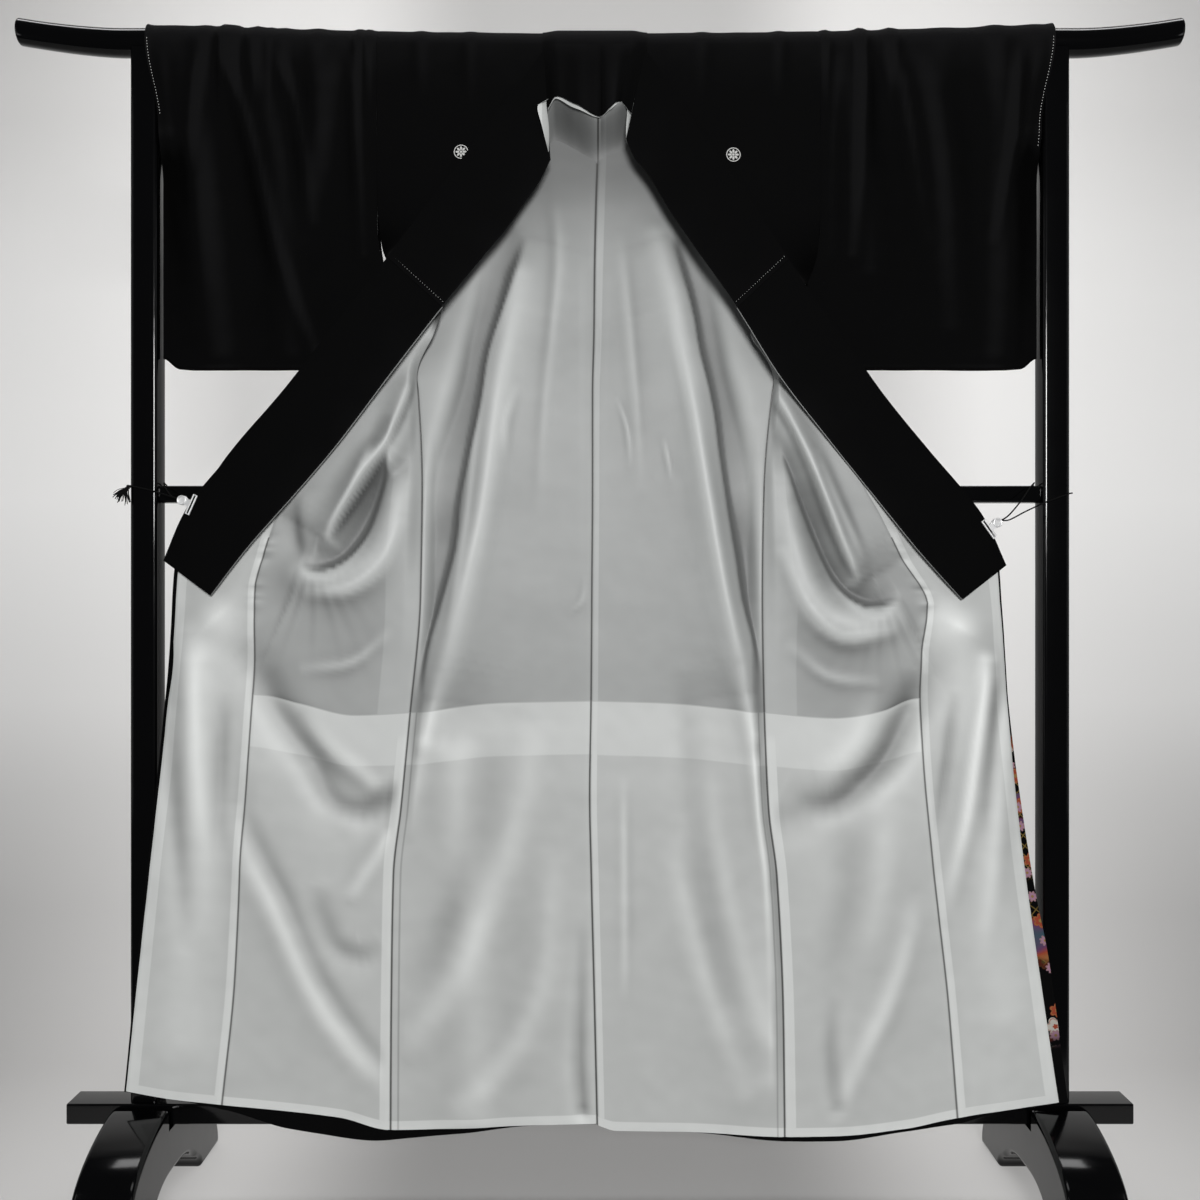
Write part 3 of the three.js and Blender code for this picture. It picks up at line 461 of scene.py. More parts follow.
# The lining's lower edge by place across a half (0 centre, 1 side seam, 2 overlap seam, 3 front edge),
# and how far the shell drops below it.
HEMS = {
  "left": table("s lining drop", [
    [0, 130, 0], [0.3, 128, 1], [0.65, 124, 8], [1, 121, 15], [1.3, 139, 29],
    [1.6, 148, 26], [2, 157, 7], [2.5, 165, 1], [3, 177, 1],
  ]),
  "right": table("s lining drop", [
    [0, 128, 0], [0.1, 120, 0], [0.5, 118, 1], [1, 111, 7], [1.3, 112, 8],
    [1.7, 123, 5], [2, 138, 9], [2.5, 150, 1], [3, 161, 1],
  ]),
}
# How far the join between the upper and lower lining rises above its label.
JOINS = {
  "left": table("s rise", [[0, 3], [0.5, 0], [1, -14], [1.35, -18], [1.7, -1], [2, 12], [3, 12]]),
  "right": table("s rise", [[0, 3], [0.4, 0], [1, -14], [1.45, -22], [1.75, -12], [2, 6], [3, 6]]),
}
# How far the shell stands out past the lining along the front edges.
SLIVERS = {
  "left": table("h width", [[1300, 2], [950, 6], [700, 5], [125, 3]]),
  "right": table("h width", [[1300, 2], [950, 3], [745, 2], [600, 6], [455, 11], [330, 17], [125, 14]]),
}
# Creases: half width, then places (out, z) with how far the cloth stands forward there.
BACK_CREASES = {
  "left": [
    (20, [[121, 1364, 4], [150, 1185, 10], [172, 1021, 13], [201, 890, 12], [255, 690, 7]]),
    (19, [[143, 1430, -6], [182, 1254, -14], [222, 1100, -12], [245, 980, -8], [262, 880, -3]]),
    (34, [[215, 660, 5], [190, 420, 6], [180, 150, 4]]),
  ],
  "right": [
    (20, [[87, 1429, 4], [134, 1211, 10], [153, 1065, 13], [185, 880, 12], [232, 700, 8]]),
    (19, [[131, 1410, -6], [168, 1240, -14], [196, 1110, -12], [213, 985, -8], [226, 900, -3]]),
    (30, [[238, 640, 7], [250, 450, 8], [262, 200, 5]]),
  ],
}

FRONT_CREASES = {
  "left": [
    (19, [
        [266, 1206, 6], [274, 1178, 16], [305, 1110, 30], [331, 1081, 30], [362, 1030, 22], [390, 985, 10],
    ]),
    (24, [[290, 1075, -3], [318, 1045, -4], [345, 1005, -7], [370, 975, -5]]),
    (26, [[300, 1090, 2], [296, 1020, 12], [318, 955, 16], [372, 915, 14], [430, 925, 8]]),
    (30, [[560, 860, 7], [505, 800, -6], [440, 690, -8], [350, 610, -5], [300, 590, -3]]),
    (40, [[580, 800, 7], [600, 560, 8], [610, 260, 4]]),
  ],
  "right": [
    (19, [[240, 1206, 6], [252, 1178, 16], [293, 1094, 30], [324, 1019, 26], [342, 969, 20], [367, 925, 8]]),
    (24, [[290, 1030, -4], [310, 985, -7], [330, 935, -7], [355, 905, -4]]),
    (26, [[276, 1060, 4], [284, 960, 12], [315, 880, 15], [372, 850, 13], [430, 865, 7]]),
    (30, [[520, 850, 6], [470, 760, -7], [400, 650, -8], [320, 590, -5], [262, 575, -3]]),
    (40, [[530, 840, 8], [548, 600, 7], [590, 300, 4]]),
  ],
}

SLEEVE_CREASES = {
  "left": [
    (26, [[600, 1690, 2], [585, 1500, 7], [560, 1260, 4]]),
    (24, [[500, 1690, 2], [470, 1520, 6], [455, 1260, 3]]),
    (22, [[395, 1700, 3], [410, 1560, 6], [430, 1420, 2]]),
  ],
  "right": [
    (26, [[590, 1690, 2], [600, 1520, 6], [590, 1260, 4]]),
    (24, [[470, 1700, 3], [500, 1540, 7], [520, 1300, 3]]),
    (22, [[360, 1700, 2], [380, 1560, 5], [400, 1380, 3]]),
  ],
}
# Collar stations from the neck to the end: the sewn edge and the free edge.
COLLAR_STATIONS = {
  "left": table("seam seamZ seamY free freeZ freeY", [
    [82, 1690, -27.6, 72, 1530, -30],
    [112, 1648, -29.3, 88, 1498, -32],
    [149, 1600, -31.4, 107, 1470, -35],
    [201, 1529, -34, 133, 1431, -38],
    [245, 1470, -37, 172, 1382, -43],
    [307, 1385, -42, 228, 1313, -47],
    [378, 1293, -45.5, 299, 1219, -54],
    [466, 1179, -47.8, 377, 1114, -58],
    [539, 1092, -47.8, 440, 1040, -58],
    [597, 1020, -45.4, 505, 968, -54],
    [630, 947, -43.6, 561, 897, -50],
  ]),
  "right": table("seam seamZ seamY free freeZ freeY", [
    [66, 1690, -27.6, 38, 1560, -30],
    [95, 1651, -29.3, 50, 1532, -32],
    [117, 1614, -31.4, 70, 1506, -35],
    [170, 1536, -34, 100, 1455, -38],
    [213, 1475, -37, 133, 1405, -43],
    [272, 1382, -42, 198, 1312, -47],
    [340, 1281, -45.5, 258, 1214, -54],
    [413, 1179, -47.8, 330, 1119, -58],
    [474, 1105, -47.8, 387, 1048, -58],
    [555, 1006, -45.4, 462, 957, -54],
    [586, 940, -43.6, 522, 891, -50],
  ]),
}
# Finer folds that only the cloth itself has, in the same notation.
BACK_FOLDS = {
    "left": [
        (6, [[162, 1250, 0], [182, 1120, 2.5], [196, 1000, 3], [214, 880, 1], [222, 840, 0]]),
        (10, [[70, 1500, 0], [62, 1380, 3], [80, 1180, 2], [92, 1000, 0]]),
        (7, [[118, 1210, 0], [136, 1150, 3], [138, 1090, 0]]),
        (5, [[20, 930, 0], [26, 890, 1.2], [50, 870, 0]]),
        (14, [[236, 790, 0], [248, 713, 5], [267, 627, 5], [282, 540, 0]]),
        (27, [[98, 720, 0], [108, 634, 4], [140, 506, 6], [189, 380, 6], [248, 284, 5], [290, 226, 0]]),
        (26, [[168, 700, 0], [177, 595, -4], [214, 447, -5], [258, 358, -2], [280, 320, 0]]),
        (23, [[70, 540, 0], [72, 468, 3], [87, 321, 4], [145, 208, 4], [202, 157, 2]]),
        (13, [[20, 430, 0], [25, 358, -3], [30, 225, -6], [24, 152, -6]]),
    ],
    "right": [
        (13, [
            [200, 800, 0], [210, 742, 7], [225, 654, 9], [234, 577, 9], [250, 460, 7], [262, 330, 4],
            [264, 220, 0],
        ]),
        (22, [[150, 660, 0], [160, 577, 3], [202, 395, 5], [232, 284, 5], [267, 226, 2]]),
        (20, [[122, 790, 0], [133, 713, -3], [148, 540, -4], [177, 358, -3], [200, 270, 0]]),
        (20, [[105, 560, 0], [115, 482, 3], [137, 395, 4], [173, 284, 4], [210, 178, 2]]),
        (8, [[34, 640, 0], [35, 540, 2.5], [36, 380, 2], [35, 300, 0]]),
        (10, [[100, 1314, 0], [128, 1190, 4], [154, 1050, 4], [182, 890, 4], [215, 760, 0]]),
        (10, [[30, 1440, 0], [40, 1330, 3], [52, 1180, 3], [60, 1040, 0]]),
        (4, [[24, 1190, 0], [40, 1140, 2.5], [44, 1080, 0]]),
        (4, [[92, 1130, 0], [99, 1095, 2], [104, 1060, 0]]),
    ],
}
FRONT_FOLDS = {
    "left": [
        (7, [[330, 1120, 0], [350, 1060, 4], [378, 1010, 4], [400, 975, 0]]),
        (10, [[285, 1000, 2], [312, 940, 5], [360, 905, 6], [420, 900, 2]]),
        (9, [[300, 850, 0], [360, 800, 3], [430, 790, 1]]),
        (22, [[490, 800, 0], [470, 735, -4], [419, 661, -5.5], [392, 590, -3], [384, 530, 0]]),
        (14, [[430, 730, 0], [399, 683, 3], [340, 632, 3], [320, 612, 0]]),
        (18, [[420, 650, 0], [391, 605, -4], [347, 586, -6], [295, 612, -4]]),
        (14, [[305, 560, 0], [318, 528, 4], [352, 476, 3], [365, 450, 0]]),
        (19, [[410, 480, 0], [405, 440, -4], [387, 395, -5], [352, 377, -4], [318, 396, 0]]),
        (21, [[530, 600, 0], [517, 519, 4], [470, 432, 6], [419, 323, 6], [362, 236, 5], [310, 185, 1]]),
        (17, [[520, 660, 0], [514, 577, -3], [462, 468, -5], [405, 338, -5], [332, 236, -3], [306, 205, 0]]),
        (21, [[596, 840, 3], [590, 757, 9], [580, 609, 8], [572, 505, 4], [567, 373, 0]]),
        (17, [[622, 720, 0], [616, 600, -6], [606, 470, -4], [600, 380, 0]]),
        (13, [[546, 760, 0], [549, 683, -4], [552, 595, -3], [550, 520, 0]]),
    ],
    "right": [
        (7, [[310, 1110, 0], [335, 1050, 4], [362, 990, 4], [385, 940, 0]]),
        (10, [[262, 960, 2], [296, 880, 6], [350, 835, 6], [420, 845, 2]]),
        (9, [[270, 830, 0], [330, 780, 3], [400, 770, 1]]),
        (22, [[462, 790, 0], [448, 735, -8], [419, 663, -10], [377, 618, -7], [332, 596, -5], [268, 620, 0]]),
        (20, [[400, 760, 0], [385, 700, 4], [352, 655, 4], [310, 640, 0]]),
        (30, [[372, 620, 0], [369, 560, -4], [369, 468, -5], [347, 358, -3], [340, 290, 0]]),
        (17, [[462, 470, 0], [448, 395, 4], [421, 314, 5], [391, 250, 5], [347, 157, 2]]),
        (13, [[342, 320, 0], [337, 240, -4], [344, 157, -4]]),
        (24, [[420, 600, 0], [414, 521, 3], [399, 417, 2], [392, 350, 0]]),
        (14, [[562, 800, 5], [557, 757, 9], [542, 669, 10], [529, 577, 9], [510, 480, 4], [500, 420, 0]]),
        (16, [[592, 760, 0], [586, 683, 3], [570, 505, 4], [552, 380, 1], [546, 320, 0]]),
        (12, [[576, 780, 0], [573, 713, -3], [562, 595, -3], [556, 520, 0]]),
        (10, [[514, 760, 0], [508, 698, -4], [497, 609, -4], [492, 540, 0]]),
    ],
}
# Lines where the cloth falls away steeply: width, reach, then places (out, z) and the height of the fall.
# A positive fall leaves the outer side behind, a negative one the inner side.
BACK_FALLS = {
    "left": [
        (4.5, 30, [
            [110, 1430, 0], [143, 1327, 11], [166, 1254, 14], [175, 1181, 14], [190, 1109, 12],
            [204, 1036, 10], [211, 963, 13], [230, 890, 13], [251, 817, 9], [262, 750, 0],
        ]),
    ],
    "right": [
        (5, 30, [
            [106, 1430, 0], [138, 1327, 10], [150, 1254, 12], [166, 1181, 12], [175, 1109, 11],
            [185, 1036, 9], [197, 963, 11], [208, 890, 11], [226, 817, 8], [235, 760, 0],
        ]),
    ],
}
FRONT_FALLS = {
    "left": [
        (4, 30, [
            [246, 1285, 0], [258, 1245, -6], [272, 1206, -10], [290, 1150, -13], [310, 1106, -13],
            [346, 1049, -13], [375, 1005, -9], [393, 975, 0],
        ]),
        (5, 28, [
            [298, 1160, 0], [307, 1106, 7], [317, 1049, 10], [335, 991, 11], [368, 948, 11], [407, 930, 7],
            [436, 939, 0],
        ]),
        (8, 24, [[436, 1050, 0], [433, 990, 4], [424, 940, 0]]),
    ],
    "right": [
        (4, 30, [
            [222, 1255, 0], [238, 1206, -6], [262, 1164, -10], [288, 1106, -12], [320, 1027, -13],
            [350, 958, -10], [374, 914, 0],
        ]),
        (5, 28, [
            [260, 1128, 0], [274, 1077, 7], [306, 991, 9], [339, 919, 11], [372, 886, 11], [404, 878, 8],
            [436, 893, 0],
        ]),
    ],
}
SLEEVE_FOLDS = {
    "left": [
        (12, [[548, 1706, 4], [505, 1560, 4], [470, 1400, 3], [420, 1260, 2]]),
        (9, [[582, 1700, 3], [592, 1600, 3], [600, 1480, 0]]),
        (11, [[470, 1700, 3], [440, 1600, 3], [420, 1450, 1]]),
        (10, [[360, 1690, 3], [352, 1560, 4], [346, 1400, 2]]),
        (9, [[640, 1690, 2], [628, 1540, 3], [612, 1400, 0]]),
    ],
    "right": [
        (11, [[384, 1704, 4], [380, 1560, 4], [372, 1400, 2]]),
        (12, [[430, 1700, 3], [455, 1580, 3], [480, 1420, 1]]),
        (9, [[610, 1700, 3], [600, 1560, 4], [578, 1420, 1]]),
        (8, [[640, 1690, 2], [622, 1560, 2], [600, 1480, 0]]),
        (10, [[345, 1690, 2], [338, 1560, 4], [336, 1400, 2]]),
    ],
}
# Where the cloth bunches on the rail: place along it, height, width.
RAIL_TUCKS = [
    (-668, 2.5, 8), (-577, 2.0, 14), (-548, 4.5, 8), (-534, 3.6, 7), (-502, 2.6, 9), (-483, 1.6, 7),
    (-462, 1.4, 10), (-413, 1.5, 12), (-352, 2.4, 6), (-338, 2.0, 5), (-262, 1.5, 10), (-190, 1.2, 9),
    (-8, 2.6, 6), (22, 1.4, 8), (150, 1.2, 10), (262, 1.6, 9), (330, 2.2, 6), (381, 4.0, 8),
    (425, 2.8, 9), (500, 1.0, 18),
    (578, 2.4, 16), (640, 1.8, 22), (664, 2.4, 7),
]

# ---------------------------------------------------------------- the kimono's own surfaces


JOIN_REACH = 260  # the join's curve fades out over this height above it
SEAM_SHARE = 0.08  # folds fade out over this share of a panel's width beside its seams
SEAM_DEPTH, SEAM_REACH = 1.6, 3.2
BAR_CLEAR, BAR_REACH, BAR_SOFT, FREE_LIMIT = 3.5, 140, 2.5, 8
PUCKER_AT, PUCKER_SIZE, PUCKER_ACROSS, PUCKER_UP = {"left": 935, "right": 900}, 0.8, 11, 60
FRONT_FOLDS_FADE = 1225, 1300
HEM_DROP_FROM, SLIVER_TOP, SLIVER_BACK = JOIN - 450, 1300, 0.06


def row_height(side, s, h):
    """Height of a row at one place across a half, with the curved join and hem."""
    join = along(JOINS[side], "rise", s)
    hem = along(HEMS[side], "lining", s) - HEM
    upper = h + join * (1 - smooth(h, JOIN, JOIN + JOIN_REACH))
    lower = h + lerp(join, hem, (JOIN - h) / (JOIN - HEM))
    return np.where(h >= JOIN, upper, lower)


def rail_tucks(x):
    """How far the cloth bunches up off the rail at some places along it."""
    return bumps(x, RAIL_TUCKS)


def rise_share(h):
    """How much of the rail's curve the cloth takes on at some heights."""
    return smooth(h, RISE_FROM, RISE_TO)


def over_rail(side, out, h, z, y, behind):
    """The fold over the rail: places above the rail's axis run round it, with small tucks."""
    angle = np.clip((h - RAIL_HEIGHT) / CLOTH_RADIUS, 0, None)
    away = 1 if behind else -1
    tuck = rail_tucks(side_x(side, out))
    radius = CLOTH_RADIUS + tuck
    folded = h > RAIL_HEIGHT
    y = np.where(folded, radius * np.cos(angle) * away, y + away * tuck * smooth(h, TUCK_FROM, RAIL_HEIGHT))
    return np.where(folded, RAIL_HEIGHT + radius * np.sin(angle), z), y


def hung(side, out, y, z, h):
    """Points that follow the rail's curve, as far as cloth of their row does."""
    x = side_x(side, out)
    return place_on((x, y, z + rail_rise(x) * rise_share(h)))


def before_bar(y, z):
    """Keeps the cloth in front of the middle bar where they meet, with a soft limit."""
    near_bar = np.exp(-(((z - BAR_BOTTOM - BAR_SIZE / 2) / BAR_REACH) ** 2))
    limit = lerp(FREE_LIMIT, -BAR_SIZE / 2 - SHELL_AT - BAR_CLEAR, near_bar)
    beyond = np.clip((y - limit) / BAR_SOFT, -30, 30)
    return y - BAR_SOFT * np.log1p(np.exp(beyond))


def back_surface(side, s, h):
    """Points of a back panel: s runs from the centre seam (0) to the side seam (1)."""
    lines = BACK_LINES[side]
    level = np.minimum(h, RAIL_HEIGHT)
    out = lerp(along(lines, "centre", level), along(lines, "side", level), s)
    z = row_height(side, s, level)
    off_seams = smooth(s, 0, SEAM_SHARE) * smooth(1 - s, 0, SEAM_SHARE)
    y = lerp(along(lines, "centreY", level), along(lines, "sideY", level), s)
    folds = lift(BACK_CREASES[side] + BACK_FOLDS[side], out, z) + fall(BACK_FALLS[side], out, z)
    y = y - folds * off_seams * (h < RAIL_HEIGHT)
    y = before_bar(y, z)
    z, y = over_rail(side, out, h, z, y, True)
    return hung(side, out, y, z, h)


def pucker(side, from_seam, z):
    """Small gathers along the top of the overlap's seam, where the cloth is pulled towards the clips."""
    waves = np.sin(z / 3.1 + 1.9 * np.sin(z / 11.0)) + 0.9 * np.sin(z / 6.7 + 1.0)
    away = (from_seam / PUCKER_ACROSS) ** 2 + ((z - PUCKER_AT[side]) / PUCKER_UP) ** 2
    return PUCKER_SIZE * waves * np.exp(-away)


def front_surface(side, s, h):
    """Points of a front: s runs from the side (1) to the overlap seam (2) and the front edge (3)."""
    lines = FRONT_LINES[side]
    level = np.minimum(h, RAIL_HEIGHT)
    parted = smooth(h, UNDERARM, UNDERARM + 90)
    side_out = lerp(along(BACK_LINES[side], "side", level), along(FRONT_SIDES[side], "side", level), parted)
    side_y = lerp(along(BACK_LINES[side], "sideY", level), along(FRONT_SIDES[side], "sideY", level), parted)
    seam_out, seam_y = along(lines, "overlap", level), along(lines, "overlapY", level)
    edge_out, edge_y = along(lines, "edge", level), along(lines, "edgeY", level)
    inner = s < 2
    out = np.where(inner, lerp(side_out, seam_out, s - 1), lerp(seam_out, edge_out, s - 2))
    z = row_height(side, s, level)
    below = (1 - smooth(h, *FRONT_FOLDS_FADE)) * smooth(s - 1, 0, 0.1)
    folds = lift(FRONT_CREASES[side] + FRONT_FOLDS[side], out, z) + fall(FRONT_FALLS[side], out, z)
    y = np.where(inner, lerp(side_y, seam_y, s - 1), lerp(seam_y, edge_y, s - 2))
    y = y - folds * below - pucker(side, out - seam_out, z)
    z, y = over_rail(side, out, h, z, y, False)
    return hung(side, out, y, z, h)


def rows_down():
    """Row labels from the shoulder over the rail to the hem, 4 to 8 mm apart."""
    over = np.linspace(SHOULDER, RAIL_HEIGHT, RAIL_ROWS)[:-1]
    upper = np.linspace(RAIL_HEIGHT, JOIN, UPPER_ROWS)
    return np.concatenate([over, upper, np.linspace(JOIN, HEM, LOWER_ROWS)[1:]])


def seam_dip(distance):
    """How far cloth pulls in beside a seam."""
    return SEAM_DEPTH * np.exp(-((distance / SEAM_REACH) ** 2))


def let_out(side, points, s, h, has_edge):
    """The shell's surface: the lining's, dropped at the hem and let out along the front edge."""
    points = points.copy()
    points[..., 2] -= along(HEMS[side], "drop", s) * smooth(HEM_DROP_FROM - h, 0, HEM_DROP_FROM - HEM) ** 2
    if has_edge:
        width = along(SLIVERS[side], "width", h) * smooth(s, 2.6, 3) * (h < SLIVER_TOP)
        points[..., 0] += side_x(side, width)
        points[..., 1] += SLIVER_BACK * width
    return points


def flat_place(side, s, h):
    """Each place on the flat cut, in millimetres from the centre seam and the hem."""
    seams = np.cumsum([0, BACK_WIDTH, FRONT_WIDTH, OVERLAP_WIDTH])
    across = side_x(side, np.interp(s, range(len(seams)), seams))
    return np.stack(np.broadcast_arrays(across, h), axis=-1)


# ---------------------------------------------------------------- finishes


class Value:
    """One number in a material's node tree. Arithmetic on it adds the Math nodes."""

    def __init__(self, finish, socket):
        self.finish, self.socket = finish, socket

    def maths(self, operation, *values):
        node = self.finish.node("ShaderNodeMath", {"operation": operation}, *values)
        return Value(self.finish, node.outputs[0])

    def __add__(self, other):
        return self.maths("ADD", self, other)

    def __sub__(self, other):
        return self.maths("SUBTRACT", self, other)

    def __rsub__(self, other):
        return self.maths("SUBTRACT", other, self)

    def __mul__(self, other):
        return self.maths("MULTIPLY", self, other)

    def __truediv__(self, other):
        return self.maths("DIVIDE", self, other)

    def __abs__(self):
        return self.maths("ABSOLUTE", self)

    def least(self, other):
        return self.maths("MINIMUM", self, other)

    def most(self, other):
        return self.maths("MAXIMUM", self, other)

    def sine(self):
        return self.maths("SINE", self)

    def part(self):
        return self.maths("FRACT", self)

    def step(self, low, high):
        """0 below low, 1 above high, and soft between them."""
        node = self.finish.node(
            "ShaderNodeMapRange", {"interpolation_type": "SMOOTHSTEP"}, self,
            **{"From Min": low, "From Max": high},
        )
        return Value(self.finish, node.outputs["Result"])

    def band(self, start, end, soft):
        """1 between two values, with soft edges."""
        return self.step(start - soft, start + soft) * (1 - self.step(end - soft, end + soft))

    __radd__, __rmul__ = __add__, __mul__


class Finish:
    """A material under construction round one Principled shader."""

    def __init__(self, name, **shader):
        self.material = bpy.data.materials.new(name)
        self.material.use_nodes = True
        self.tree = self.material.node_tree
        self.tree.nodes.clear()
        self.shader = self.node("ShaderNodeBsdfPrincipled", {}, **shader)
        self.node("ShaderNodeOutputMaterial", {}, self.shader.outputs[0])

    def fill(self, socket, value):
        """Links a value to a socket, or sets the socket's own number, vector or colour."""
        if isinstance(value, Value):
            value = value.socket
        if isinstance(value, bpy.types.NodeSocket):
            self.tree.links.new(value, socket)
        elif socket.type == "RGBA" and len(value) == 3:
            socket.default_value = (*value, 1)
        else:
            socket.default_value = value

    def node(self, kind, settings, *first, **sockets):
        """Adds a node: its settings first, then the values or links of its sockets, by place or by name."""
        node = self.tree.nodes.new(kind)
        for key, value in settings.items():
            if key == "stops":
                self.set_stops(node.color_ramp.elements, value)
            else:
                setattr(node, key, value)
        for place, value in [*enumerate(first), *sockets.items()]:
            self.fill(node.inputs[place], value)
        return node

    @staticmethod
    def set_stops(elements, stops):
        """Gives a ramp its stops, each a place from 0 to 1 and its colour."""
        while len(elements) < len(stops):
            elements.new(1.0)
        for element, (place, shade) in zip(elements, stops):
            element.position, element.color = place, (*shade, 1)

    def value(self, node, name):
        return Value(self, node.outputs[name])

    def mix(self, share, a, b):
        """Colour a where the share is 0 and b where it is 1."""
        node = self.node("ShaderNodeMix", {"data_type": "RGBA"})
        for place, value in ((0, share), (6, a), (7, b)):
            self.fill(node.inputs[place], value)
        return node.outputs[2]

    def vector(self, operation, *values):
        return self.node("ShaderNodeVectorMath", {"operation": operation}, *values)

    def flat_cut(self):
        """Across and up on the flat cloth, in metres, and both as one vector."""
        where = self.node("ShaderNodeUVMap", {"uv_map": "cloth"}).outputs[0]
        split = self.node("ShaderNodeSeparateXYZ", {}, where)
        return self.value(split, "X"), self.value(split, "Y"), where

    def relief(self):
        """The relief map of painted shade and light: 0 in a hollow of the cloth, 1 on a ridge."""
        where = self.node("ShaderNodeUVMap", {"uv_map": "relief"}).outputs[0]
        return self.value(self.node("ShaderNodeSeparateXYZ", {}, where), "X")

    def place(self):
        return self.node("ShaderNodeTexCoord", {}).outputs["Object"]

    def number(self, value):
        node = self.node("ShaderNodeValue", {})
        node.outputs[0].default_value = value
        return Value(self, node.outputs[0])

    def noise(self, where, scale, detail=2.0, rough=0.5):
        node = self.node("ShaderNodeTexNoise", {}, Vector=where, Scale=scale, Detail=detail, Roughness=rough)
        return Value(self, node.outputs[0])

    def stretched(self, where, x, y, z):
        return self.vector("MULTIPLY", where, (x, y, z)).outputs[0]

    def bump(self, height, distance, strength=1.0):
        node = self.node("ShaderNodeBump", {}, Strength=strength, Distance=distance, Height=height)
        self.set(Normal=node.outputs[0])

    def set(self, **links):
        for name, value in links.items():
            self.fill(self.shader.inputs[name.replace("_", " ")], value)


def colour(values):
    """A colour setting as three plain numbers."""
    return tuple(values)[:3]


def scaled(tone, share):
    """A colour times a share, none of its parts above 1."""
    return tuple(min(1.0, c * share) for c in tone)


def lacquer_finish():
    """Black lacquer over wood: deep gloss with faint brushed unevenness and a little dust."""
    shade = bpy.context.scene.kimono_colours
    lacquer = Finish("black lacquer", Roughness=0.1, IOR=1.4)
    where = lacquer.place()
    dust = lacquer.noise(where, 240, 3, 0.7).step(0.62, 0.8) * lacquer.noise(where, 9).step(0.45, 0.7)
    black = colour(shade.lacquer)
    lacquer.set(Base_Color=lacquer.mix(dust * 0.5, black, tuple(c + 0.01 for c in black)))
    lacquer.set(Roughness=lacquer.noise(where, 14, 3) * 0.06 + dust * 0.12 + 0.08)
    lacquer.bump(lacquer.noise(where, 22, 1), 0.0006, 0.25)
    return lacquer.material


def black_silk_finish(name, worked=False):
    """Matt black silk crepe, with painted shade in hollows and painted highlights on crests. The shells of
    the body carry a worked hem.
    """
    shade = bpy.context.scene.kimono_colours
    sheen = {"Sheen Weight": 0.01, "Sheen Roughness": 0.5, "Specular IOR Level": 0.04}
    silk = Finish(name, Roughness=0.85, **sheen)
    across, up, flat = silk.flat_cut()
    crepe = silk.noise(silk.stretched(flat, 1.0, 0.45, 1.0), 1500, 3, 0.7)
    slub = silk.noise(silk.stretched(flat, 1.0, 9.0, 1.0), 60, 2)
    black = colour(shade.black_silk)
    dark = silk.mix(crepe * 0.7 + slub * 0.3, scaled(black, 0.72), scaled(black, 1.35))
    # Painted shade: near black in the relief map's hollows; painted highlight: up to 3.2 times lighter on its
    # crests.
    relief = silk.relief()
    dark = silk.mix(1 - relief.step(0.1, 0.5), dark, scaled(black, 0.12))
    dark = silk.mix(relief.step(0.5, 0.85), dark, scaled(black, 3.2))
    silk.set(Base_Color=hem_design(silk, across, up, flat, dark) if worked else dark)
    silk.set(Roughness=crepe * 0.12 + 0.78)
    silk.bump(crepe + slub * 0.5, 0.0004, 0.5)
    return silk.material


BLOSSOM_RADIUS, BLOSSOM_SPREAD = 0.26, 0.75


def hem_design(silk, across, up, flat, ground):
    """Mist bands, a diamond net and round blossoms in a layout of their own, low on the shell."""
    shade = bpy.context.scene.kimono_colours
    gold, red, teal, purple = (colour(c) for c in (shade.gold, shade.red, shade.teal, shade.purple))
    span = abs(across)
    drift = silk.noise(flat, 3.2, 2) - 0.5
    reach = span * 0.55 + 0.30 + drift * 0.2
    field = 1 - (up - reach).step(-0.03, 0.03)
    field = field * (up + drift * 0.08).step(0.20, 0.24) * across.step(-0.35, -0.15)
    rise = up + silk.noise(silk.stretched(flat, 2.4, 0.6, 1.0), 4, 1) * 0.16 + span * 0.18
    broken = silk.noise(silk.stretched(flat, 3.0, 9.0, 1.0), 3, 1).step(0.44, 0.5)
    mist = (rise * 34.0).sine().step(0.42, 0.62) * broken
    tint = silk.noise(silk.stretched(flat, 2.0, 5.0, 1.0), 5, 1)
    stops = [(0.3, gold), (0.46, red), (0.54, purple), (0.66, teal)]
    tints = silk.node("ShaderNodeValToRGB", {"stops": stops}, tint)
    picture = silk.mix(mist, ground, tints.outputs[0])
    lattice = abs(((across + up) * 62.0).part() - 0.5).least(abs(((up - across) * 62.0).part() - 0.5))
    net = (1 - lattice.step(0.05, 0.09)) * (1 - mist) * silk.noise(flat, 7, 1).step(0.5, 0.56)
    picture = silk.mix(net, picture, (gold[0] * 0.55, gold[1] * 0.6, gold[2] * 0.5))
    for per_metre, shift, petals, tone, heart in (
        (17.0, 0.0, 5.0, (0.40, 0.38, 0.34), red),
        (22.0, 3.7, 6.0, red, gold),
        (30.0, 8.1, 8.0, (0.30, 0.17, 0.24), gold),
    ):
        picture = blossoms(silk, flat, picture, per_metre, shift, petals, tone, heart)
    return silk.mix(field, ground, picture)


